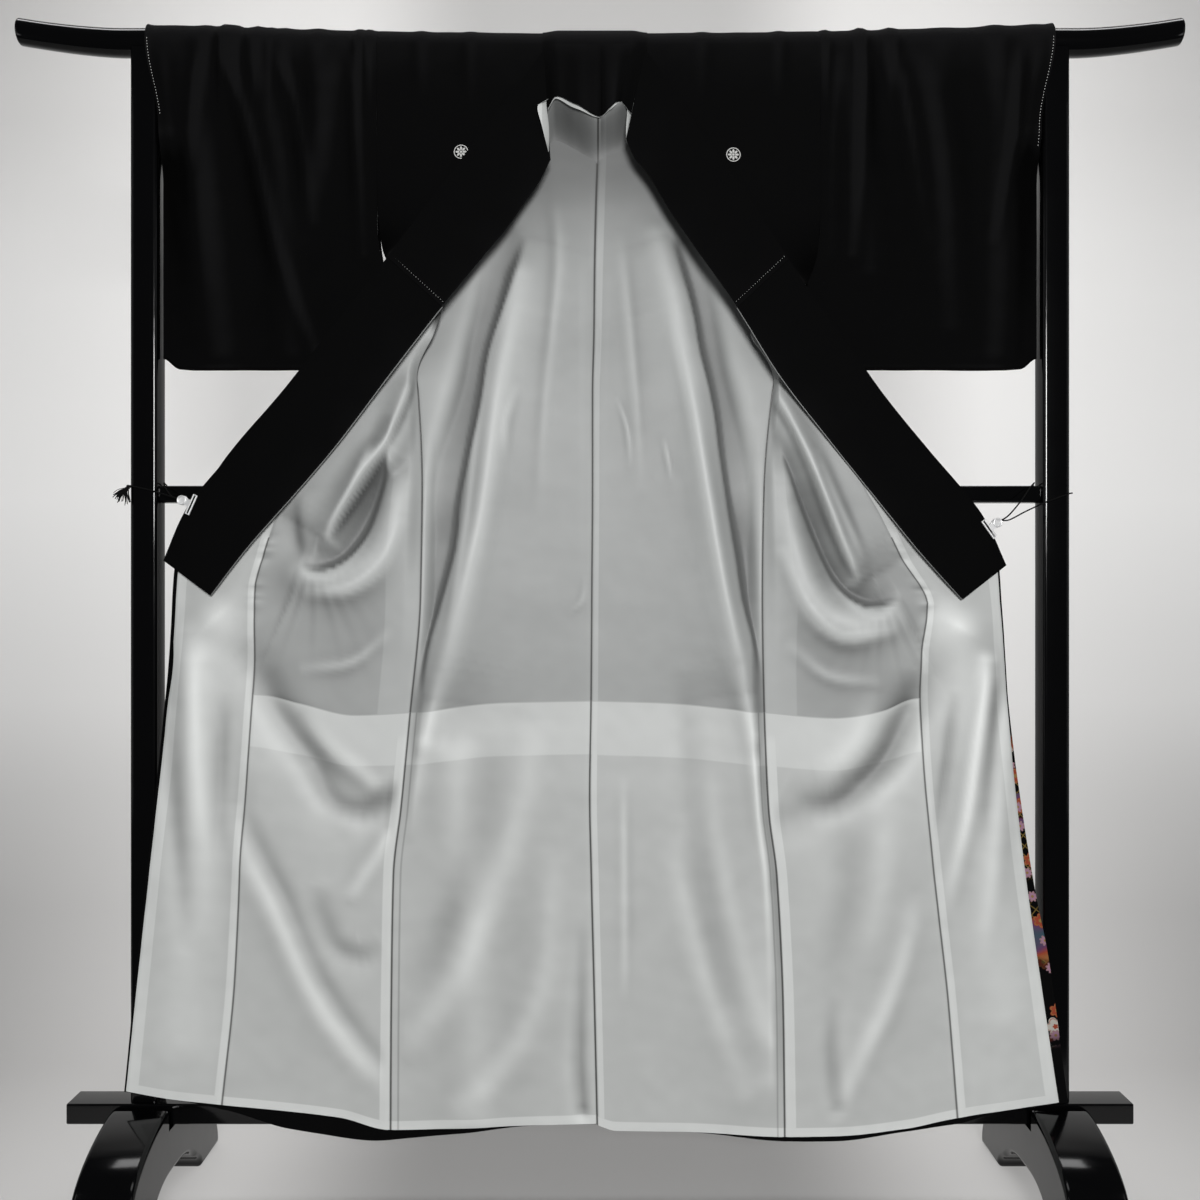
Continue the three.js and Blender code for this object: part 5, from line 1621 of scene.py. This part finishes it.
def on_sleeve_back(x, z):
    """Points of a sleeve's back layer, with normals away from the viewer."""
    h, out = z - rail_rise(x), np.abs(x)
    fold = sleeve_fold(side_of(x), out, h) * SLEEVE_BACK_SHARE
    points = place_on((x, sleeve_depth(out, h) + fold + 1.6, z))
    return points, facing(points, 1.0)


# Roundels: surface, place across and height.
ROUNDELS = {
    "roundel_chest_left": (on_front, -202, 1542),
    "roundel_chest_right": (on_front, 194, 1538),
    "roundel_back": (on_back, -3, 1622),
    "roundel_sleeve_left": (on_sleeve_back, -490, 1600),
    "roundel_sleeve_right": (on_sleeve_back, 486, 1600),
}
RING_SHARE, PETALS, PETAL_AT, PETAL_SIZE, PETAL_SQUEEZE, HEART_SIZE = 0.88, 8, 0.5, 0.27, 0.55, 0.17


def roundel(name, surface, x, z, radius, look):
    """A plain ring round a rosette of eight petals, lying on the cloth."""
    flats, faces = [], []

    def add(outline, hole=None):
        start = len(flats)
        flats.extend(outline)
        count = len(outline)
        if hole is None:
            faces.append(tuple(range(start, start + count)))
            return
        flats.extend(hole)
        for k in range(count):
            following = (k + 1) % count
            faces.append((start + k, start + following, start + count + following, start + count + k))

    def circle(size, centre=(0, 0), count=48, squeeze=1.0, turn=0.0):
        points = []
        for k in range(count):
            angle = 2 * math.pi * k / count
            a, b = size * math.cos(angle), size * squeeze * math.sin(angle)
            across, up = a * math.cos(turn) - b * math.sin(turn), a * math.sin(turn) + b * math.cos(turn)
            points.append((centre[0] + across, centre[1] + up))
        return points

    add(circle(radius), circle(radius * RING_SHARE))
    for k in range(PETALS):
        turn = 2 * math.pi * k / PETALS
        centre = (PETAL_AT * radius * math.cos(turn), PETAL_AT * radius * math.sin(turn))
        add(circle(radius * PETAL_SIZE, centre, 18, PETAL_SQUEEZE, turn))
    add(circle(radius * HEART_SIZE, count=16))
    flats = np.array(flats)
    points, normals = surface(x + flats[:, 0], z + flats[:, 1])
    mesh = mesh_of(name, points + normals * (SHELL_AT + 1.0), faces)
    finished(mesh, name, look)


class KIMONO_OT_crests(bpy.types.Operator):
    """Sets five plain roundels: two on the chest, one at the back of the neck, two behind the sleeves"""

    bl_idname = "kimono.crests"
    bl_label = "Roundels"

    def execute(self, context):
        radius = context.scene.kimono_sizes.roundel / 2 / MM
        look = finish("thread")
        for name, (surface, x, z) in ROUNDELS.items():
            roundel(name, surface, x, z, radius, look)
        return {"FINISHED"}


STITCH_SIDES = 8
CUFF_STITCHES_FROM, STITCH_APART = {"left": 1600, "right": 1555}, 4.2


def stitch_row(name, points, size, look):
    """A row of small raised stitches that face the viewer. size is half their length and half their width."""
    vertices, faces = [], []
    for point, normal, way in zip(points, facing(points, -1.0), headings(points)):
        side = np.cross(normal, way)
        start = len(vertices)
        for angle in np.linspace(0, 2 * math.pi, STITCH_SIDES + 1)[:-1]:
            vertices.append(point + way * size[0] * math.cos(angle) + side * size[1] * math.sin(angle))
        vertices.append(point + normal * size[1] * 0.8)
        top = start + STITCH_SIDES
        faces += [(start + k, start + (k + 1) % STITCH_SIDES, top) for k in range(STITCH_SIDES)]
    finished(mesh_of(name, np.array(vertices), faces), name, look)


class KIMONO_OT_stitches(bpy.types.Operator):
    """Sews the dotted stitch rows at the over collar's ends and the cuffs"""

    bl_idname = "kimono.stitches"
    bl_label = "Stitches"

    def execute(self, context):
        look = finish("thread")
        for side in ("left", "right"):
            t = np.linspace(0.03, 0.97, 24)
            points = collar_points(side, np.full_like(t, OVER_COLLAR_END - 0.06), t, 1.0)
            points = points + facing(points, -1.5)
            stitch_row(f"over_collar_stitches_{side}", points, (0.55, 0.34), look)
            z = np.arange(CUFF_STITCHES_FROM[side], RAIL_HEIGHT, STITCH_APART)
            out = CUFF_END + CUFF_FLARE * smooth(z, CUFF_OPENING + CUFF_RISE, RAIL_HEIGHT) - 3.5
            tuck = rail_tucks(side_x(side, out)) * smooth(z, SLEEVE_TUCK_FROM, RAIL_HEIGHT)
            depth = sleeve_depth(CUFF_END, z) + tuck + SHELL_AT + 0.7
            points = hung(side, out, -depth, z, z + SLEEVE_AHEAD)
            stitch_row(f"cuff_stitches_{side}", points, (0.9, 0.45), look)
        return {"FINISHED"}


# ---------------------------------------------------------------- clips and cords

CLIPS = {
    "left": {"bite": 6, "slide": -11, "pull": (-0.91, 0, 0.41)},
    "right": {"bite": 6, "slide": 15, "pull": (0.81, 0, 0.58)},
}
CORDS = {
    "left": [
        (-616, -38, 1038), (-624, -33, 1043), (-633, -26, 1053), (-640, -12, 1061.5),
        (-643, 2, 1061.5), (-644.5, 16, 1058.5), (-653, 25, 1056), (-670, 24, 1055), (-684, 24, 1055),
        (-691, 17.5, 1055.5), (-691.5, 0, 1056), (-691, -17.5, 1056.5), (-684, -24, 1056.5),
        (-672, -24, 1054), (-655, -25, 1050), (-634, -31, 1044), (-618, -42, 1039),
    ],
    "right": [
        (585, -41, 1008), (595, -38, 1016), (612, -33, 1035), (626, -26, 1053),
        (637, -12, 1061.5), (641, 2, 1061.5), (645, 15, 1058.5), (654, 24, 1055), (672, 24, 1050),
        (684, 24, 1048), (691, 17.5, 1047), (691.5, 0, 1047), (691, -17.5, 1046.5), (684, -24, 1045),
        (664, -25, 1038), (643, -30, 1030), (616, -37, 1018), (598, -43, 1009), (588, -46, 1005),
    ],
}


def unit(vector):
    """A vector's direction."""
    return np.asarray(vector, float) / np.linalg.norm(vector)


def clip_frame(side):
    """Where a clip bites, and its own axes: into the cloth, along its lips, out of the cloth."""
    k, t = np.meshgrid([0.0, 0.5, 1.0], [8.0, 9.0, 10.0])
    grid = collar_points(side, t, k, 0.0)
    normals = cloth_normals(grid, side == "right")
    here, normal = grid[1, 0], normals[1, 0]
    clip = CLIPS[side]
    place = here + unit(grid[1, 2] - here) * clip["bite"] + unit(grid[2, 0] - grid[0, 0]) * clip["slide"]
    pull = np.array(clip["pull"], float)
    inward = -unit(pull - normal * pull.dot(normal))
    return place, np.stack([inward, np.cross(normal, inward), normal], axis=1)


def wire(points, radius, sides=12, closed=False):
    """The points and faces of a round wire along a line."""
    points = np.asarray(points, float)
    count = len(points)
    ahead = headings(points, closed)
    guide = np.array([0.0, 0.0, 1.0]) if abs(ahead[0][2]) < 0.9 else np.array([0.0, 1.0, 0.0])
    turns = np.arange(sides) * 2 * math.pi / sides
    rings = []
    for point, way in zip(points, ahead):
        across = unit(np.cross(guide, way))
        guide = np.cross(way, across)
        rings.append([point + radius * (across * math.cos(a) + guide * math.sin(a)) for a in turns])
    faces = []
    for i in range(count if closed else count - 1):
        for j in range(sides):
            a, b = i * sides + j, i * sides + (j + 1) % sides
            c, d = ((i + 1) % count) * sides + (j + 1) % sides, ((i + 1) % count) * sides + j
            faces.append((a, b, c, d))
    if not closed:
        faces += [tuple(range(sides))[::-1], tuple(range((count - 1) * sides, count * sides))]
    return np.array(rings).reshape(-1, 3), faces


def plate(outline, z_low, z_high, slope=0.0, anchor=0.0):
    """A flat plate from an outline, sloping away from an anchor along X."""
    outline = np.asarray(outline, float)
    shift = (outline[:, 0] - anchor) * slope
    low = np.column_stack([outline, z_low + shift])
    high = np.column_stack([outline, z_high + shift])
    count = len(outline)
    faces = [tuple(range(count))[::-1], tuple(range(count, 2 * count))]
    faces += [(k, (k + 1) % count, (k + 1) % count + count, k + count) for k in range(count)]
    return np.concatenate([low, high]), faces


def joined(name, parts, look, transform=None):
    """One piece from several closed shapes."""
    points, faces, start = [], [], 0
    for part_points, part_faces in parts:
        points.append(part_points)
        faces += [tuple(start + k for k in face) for face in part_faces]
        start += len(part_points)
    points = np.concatenate(points)
    if transform is not None:
        place, axes = transform
        points = points @ axes.T + place
    mesh = mesh_of(name, points, faces)
    smooth_by_angle(mesh, 40)
    return finished(mesh, name, look)


def smooth_by_angle(mesh, degrees):
    """Keeps edges sharper than an angle crisp."""
    work = bmesh.new()
    work.from_mesh(mesh)
    for edge in work.edges:
        edge.smooth = len(edge.link_faces) == 2 and edge.calc_face_angle(0) < math.radians(degrees)
    work.to_mesh(mesh)
    work.free()


# A clip in its own axes: half its lips' length, half their gap, then places along it.
LIP_HALF, LIP_GAP, LIP_AT, LIP_BACK, NECK_AT, SPRING_AT, EYE_AT = 15.3, 3.6, 0.2, -4.4, -12.5, -11, -18
LIP_SIDE, JAW_THICK, TAB_THICK, TAB_RADIUS, EYE_RADIUS, EYE_WIRE = 14.6, 0.9, 0.8, 6.4, 5.8, 1.2
CORD_EYE, CORD_APART = 23.6, 2.6  # from the clip's place to where its cord starts, and off the eye
# The tail: its knot, how many strands, the directions they may take and their lengths.
KNOT, STRANDS, STRAND_TURN, STRAND_LENGTH = np.array([-688.6, -23.6, 1054.6]), 44, (200, 282), (15, 25)


def half_clip(sign):
    """One jaw of a clip: two lip wires and their ends, the jaw's plate and its finger tab."""
    lip = LIP_GAP * sign
    parts = []
    for x, rise, radius, sides in ((LIP_AT, 1, 1.45, 16), (LIP_BACK, 1.08, 1.2, 16)):
        parts.append(wire([(x, y, lip * rise) for y in np.linspace(-LIP_HALF, LIP_HALF, 9)], radius, sides))
    for y in (-LIP_SIDE, LIP_SIDE):
        parts.append(wire([(x, y, lip) for x in (LIP_AT, -2, LIP_BACK)], 0.8, 10))
    jaw = [(LIP_BACK, -9), (LIP_BACK, 9), (-6.5, 5.4), (NECK_AT, 4.4), (NECK_AT, -4.4), (-6.5, -5.4)]
    parts.append(plate(jaw, lip - JAW_THICK / 2, lip + JAW_THICK / 2, 0.02 * sign))
    turns = np.arange(24) * math.pi / 12
    tab = [(EYE_AT + TAB_RADIUS * math.cos(a), TAB_RADIUS * math.sin(a)) for a in turns]
    middle = lip * 0.9
    parts.append(plate(tab, middle - TAB_THICK / 2, middle + TAB_THICK / 2, 0.12 * sign, SPRING_AT))
    return parts


class KIMONO_OT_clips(bpy.types.Operator):
    """Forms the two sprung clips that hold the collar's ends"""

    bl_idname = "kimono.clips"
    bl_label = "Clips"

    def execute(self, context):
        turns = np.arange(28) * 2 * math.pi / 28
        for side in ("left", "right"):
            parts = half_clip(-1) + half_clip(1)
            parts.append(wire([(SPRING_AT, y, 0) for y in np.linspace(-5.2, 5.2, 9)], 3.2, 20))
            for height in (-4.0, 4.0):
                eye = [(EYE_AT - EYE_RADIUS * math.cos(a), EYE_RADIUS * math.sin(a), height) for a in turns]
                parts.append(wire(eye, EYE_WIRE, 12, closed=True))
            clip = joined(f"sprung_clip_{side}", parts, finish("chrome"), clip_frame(side))
            stand_for(clip, f"clip_{side}")
        return {"FINISHED"}


class KIMONO_OT_cords(bpy.types.Operator):
    """Ties each clip back to the post, and leaves a frayed tail on the left"""

    bl_idname = "kimono.cords"
    bl_label = "Cords"

    def execute(self, context):
        look = finish("cord")
        thick = context.scene.kimono_sizes.cord / 2 / MM
        for side in ("left", "right"):
            place, axes = clip_frame(side)
            eye, off = place - axes[:, 0] * CORD_EYE, axes[:, 2] * CORD_APART
            line = smooth_line([eye - off, *CORDS[side], eye + off], 150)
            cord = joined(f"cord_tied_{side}", [wire(line, thick, 10)], look)
            stand_for(cord, f"cord_{side}")
            line * MM
        tail = self.tail(look)
        return {"FINISHED"}

    def tail(self, look):
        """The left cord's knot at the post's edge, with its frayed end."""
        chance = random.Random(5)
        turns = np.linspace(0, 3 * 2 * math.pi, 60)
        coil = [
            KNOT + (2.2 * math.cos(a), 1.8 * math.sin(a * 0.9), 2.4 * math.sin(a * 1.3)) for a in turns
        ]
        parts = [wire(coil, 1.1, 8)]
        for _ in range(STRANDS):
            root = KNOT + (chance.uniform(-2.2, 1.0), chance.uniform(-1.5, 0.5), chance.uniform(-2.5, 0.5))
            way, reach = math.radians(chance.uniform(*STRAND_TURN)), chance.uniform(*STRAND_LENGTH)
            end = root + (reach * math.cos(way), chance.uniform(-4.5, -0.5), reach * math.sin(way))
            bend = (root + end) / 2 + (chance.uniform(-2, 1), chance.uniform(-2.5, 0), chance.uniform(0, 3))
            parts.append(wire(smooth_line([root, bend, end], 9), chance.uniform(0.4, 0.75), 6))
        tail = joined("cord_knot_and_tail", parts, look)
        stand_for(tail, "cord_tail")
        return tail


# ---------------------------------------------------------------- the studio

CAMERA_AT, CAMERA_LENS, SENSOR = (0, -1.92, 0.89), 39.0, 36.0
AIR_COLOUR = (0.93, 0.96, 1.0)
# Lights: place, target, width and height, and the setting for their power.
LIGHTS = {
    "key light": ((0.4, -4.6, 1.7), (0, 0, 0.85), (1.1, 0.9), "key"),
    "left light": ((-2.4, -1.5, 1.3), (0, 0, 1.0), (0.3, 2.2), "sides"),
    "right light": ((2.4, -1.5, 1.3), (0, 0, 1.0), (0.3, 2.2), "sides"),
    "top light": ((0, -1.2, 3.0), (0, 0, 0.9), (1.6, 0.5), "top"),
    "wall light": ((0, 0.3, 3.3), (0, 1.2, 0.9), (3.4, 0.5), "wall"),
}
# The sweep: its half width, the floor from front to back, the curve's radius, the wall's depth and top.
SWEEP_HALF, FLOOR_FROM, FLOOR_TO, SWEEP_RADIUS, WALL_Y, WALL_TOP = 5.0, -0.6, 0.55, 0.5, 1.05, 4.2
# Its painted shade and its glow by height, each a share of RAMP_TOP and a share of the colour: darker low
# down and at the top, and a glow that paints light, strongest a little above a metre.
RAMP_TOP = 2.4
PAINTED_SHADES = [(0.0, 0.46), (0.18, 0.45), (0.34, 0.52), (0.55, 0.66), (0.72, 0.70), (0.86, 0.64), (1.0, 0.48)]
GLOW = [(0.0, 0.06), (0.085, 0.09), (0.276, 0.30), (0.466, 0.36), (0.66, 0.27), (0.83, 0.11), (1.0, 0.05)]


def aimed(piece, target):
    """Turns a light or camera towards a place."""
    way = Vector(target) - piece.location
    piece.rotation_euler = way.to_track_quat("-Z", "Y").to_euler()


class KIMONO_OT_studio(bpy.types.Operator):
    """Sets the pale sweep, the soft lights and the camera"""

    bl_idname = "kimono.studio"
    bl_label = "Studio"

    def execute(self, context):
        studio = context.scene.kimono_studio
        self.sweep(studio)
        for name, (place, target, size, power) in LIGHTS.items():
            light = bpy.data.lights.new(name, "AREA")
            light.shape, (light.size, light.size_y) = "RECTANGLE", size
            light.energy = getattr(studio, power)
            lamp = bpy.data.objects.new(name, light)
            lamp.location = place
            aimed(lamp, target)
            context.scene.collection.objects.link(lamp)
        world = bpy.data.worlds.new("studio air")
        world.use_nodes = True
        air = world.node_tree.nodes["Background"]
        air.inputs["Color"].default_value = (*AIR_COLOUR, 1)
        air.inputs["Strength"].default_value = studio.air
        context.scene.world = world
        camera = bpy.data.cameras.new("camera")
        camera.lens, camera.sensor_width = CAMERA_LENS, SENSOR
        viewer = bpy.data.objects.new("camera", camera)
        viewer.location = CAMERA_AT
        viewer.rotation_euler = (math.pi / 2, 0, 0)
        context.scene.collection.objects.link(viewer)
        context.scene.camera = viewer
        context.scene.view_settings.view_transform = "Standard"
        return {"FINISHED"}

    def sweep(self, studio):
        """A pale floor that curves up into a wall behind, with painted shade by height and a glow that paints
        light on it.
        """
        turns = np.linspace(0.1, math.pi / 2, 14)
        profile = [(FLOOR_FROM, 0.0), (FLOOR_TO, 0.0)]
        profile += [(FLOOR_TO + SWEEP_RADIUS * math.sin(a), SWEEP_RADIUS * (1 - math.cos(a))) for a in turns]
        profile.append((WALL_Y, WALL_TOP))
        points = np.array([(x, y, z) for y, z in profile for x in (-SWEEP_HALF, SWEEP_HALF)]) / MM
        faces = [(k, k + 1, k + 3, k + 2) for k in range(0, 2 * len(profile) - 2, 2)]
        mesh = mesh_of("pale_sweep", points, faces)
        # The paper glows: painted light from its emission, set below by height and by distance from the
        # middle.
        paper = Finish("pale paper", Roughness=0.9, **{"Specular IOR Level": 0.1, "Emission Strength": 1.0})
        where = paper.node("ShaderNodeSeparateXYZ", {}, paper.place())
        height = paper.value(where, "Z") / RAMP_TOP
        tone = tuple(studio.paper)
        painted_shades = [(place, scaled(tone, share)) for place, share in PAINTED_SHADES]
        shaded = paper.node("ShaderNodeValToRGB", {"stops": painted_shades}, height)
        paper.set(Base_Color=shaded.outputs[0])
        glows = [(place, (share, share, share * 0.99)) for place, share in GLOW]
        lit = paper.node("ShaderNodeValToRGB", {"stops": glows}, height).outputs[0]
        # Painted light: the glow is raised within about 0.7 m of the middle, where the kimono shades the
        # wall.
        beside = abs(paper.value(where, "X"))
        lit = paper.mix((1 - beside.step(0.7, 1.5)) * 0.45, lit, (0.62, 0.61, 0.60))
        # Painted shade: the glow falls to almost none within 0.25 to 0.6 m of the middle, straight behind the
        # kimono.
        paper.set(Emission_Color=paper.mix(1 - beside.step(0.25, 0.6), lit, (0.05, 0.05, 0.05)))
        mesh.materials.append(paper.material)
        sweep = bpy.data.objects.new("pale_sweep", mesh)
        bpy.context.scene.collection.objects.link(sweep)


# ---------------------------------------------------------------- properties, panel and run


def length(name, words, size, low, high):
    """A setting for a small length, within limits that keep the pieces on the frame."""
    return bpy.props.FloatProperty(
        name=name, description=words, default=size, min=low, max=high, unit="LENGTH", precision=5
    )


def strength(name, words, value):
    """A setting for a light."""
    return bpy.props.FloatProperty(name=name, description=words, default=value, min=0)


def tone(name, words, values):
    """A setting for a colour."""
    return bpy.props.FloatVectorProperty(
        name=name, description=words, subtype="COLOR", size=3, min=0, max=1, default=values
    )


class KimonoSizes(bpy.types.PropertyGroup):
    """Sizes a user may change without moving anything off the frame."""

    silk: length("Silk", "Thickness of each layer of cloth", 0.0005, 0.0002, 0.001)
    roundel: length("Roundel", "Diameter of the white roundels", 0.021, 0.01, 0.04)
    cord: length("Cord", "Diameter of the cords", 0.0021, 0.001, 0.0022)
    lacquer_edge: length("Foot edge", "Radius of the eased edges of the feet", 0.007, 0.001, 0.01)


class KimonoColours(bpy.types.PropertyGroup):
    """Colours of the silks, the lacquer and the worked hem."""

    black_silk: tone("Black silk", "The shell's crepe", (0.0019, 0.0019, 0.0020))
    upper_lining: tone("Upper lining", "Lining above the join", (0.35, 0.358, 0.352))
    lower_lining: tone("Lower lining", "Lining below the join", (0.485, 0.495, 0.485))
    lacquer: tone("Lacquer", "The stand's black lacquer", (0.0012, 0.0012, 0.0014))
    thread: tone("White", "Stitches and roundels", (0.62, 0.62, 0.60))
    gold: tone("Gold", "Gold of the worked hem", (0.24, 0.15, 0.05))
    red: tone("Red", "Orange red of the worked hem", (0.26, 0.05, 0.025))
    teal: tone("Teal", "Blue green of the worked hem", (0.02, 0.08, 0.09))
    purple: tone("Purple", "Purple of the worked hem", (0.10, 0.04, 0.10))


class KimonoStudio(bpy.types.PropertyGroup):
    """Lights and backdrop."""

    key: strength("Key", "Power of the key light", 168)
    sides: strength("Sides", "Power of each side light", 4)
    top: strength("Top", "Power of the top light", 5)
    wall: strength("Wall", "Power of the wall light", 30)
    air: strength("Air", "Strength of the light all round", 0.05)
    paper: tone("Paper", "The backdrop's colour", (0.74, 0.73, 0.72))


PIECES = (
    KIMONO_OT_stand, KIMONO_OT_body, KIMONO_OT_sleeves, KIMONO_OT_collar, KIMONO_OT_crests,
    KIMONO_OT_stitches, KIMONO_OT_clips, KIMONO_OT_cords, KIMONO_OT_studio,
)


class KIMONO_PT_panel(bpy.types.Panel):
    """Lists the pieces and their settings"""

    bl_idname = "KIMONO_PT_panel"
    bl_label = "Kimono on a stand"
    bl_space_type = "VIEW_3D"
    bl_region_type = "UI"
    bl_category = "Kimono"

    def draw(self, context):
        for piece in PIECES:
            self.layout.operator(piece.bl_idname)
        for group in (context.scene.kimono_sizes, context.scene.kimono_colours, context.scene.kimono_studio):
            box = self.layout.box()
            for name in group.__annotations__:
                box.prop(group, name)


GROUPS = {"kimono_sizes": KimonoSizes, "kimono_colours": KimonoColours, "kimono_studio": KimonoStudio}


def register():
    for group in (*GROUPS.values(), *PIECES, KIMONO_PT_panel):
        bpy.utils.register_class(group)
    for name, group in GROUPS.items():
        setattr(bpy.types.Scene, name, bpy.props.PointerProperty(type=group))


def unregister():
    for name in GROUPS:
        delattr(bpy.types.Scene, name)
    for group in (*GROUPS.values(), *PIECES, KIMONO_PT_panel):
        bpy.utils.unregister_class(group)


def main():
    register()
    bpy.ops.kimono.studio()
    bpy.ops.kimono.stand()
    bpy.ops.kimono.body()
    bpy.ops.kimono.sleeves()
    bpy.ops.kimono.collar()
    bpy.ops.kimono.crests()
    bpy.ops.kimono.stitches()
    bpy.ops.kimono.clips()
    bpy.ops.kimono.cords()


if __name__ == "__main__":
    main()
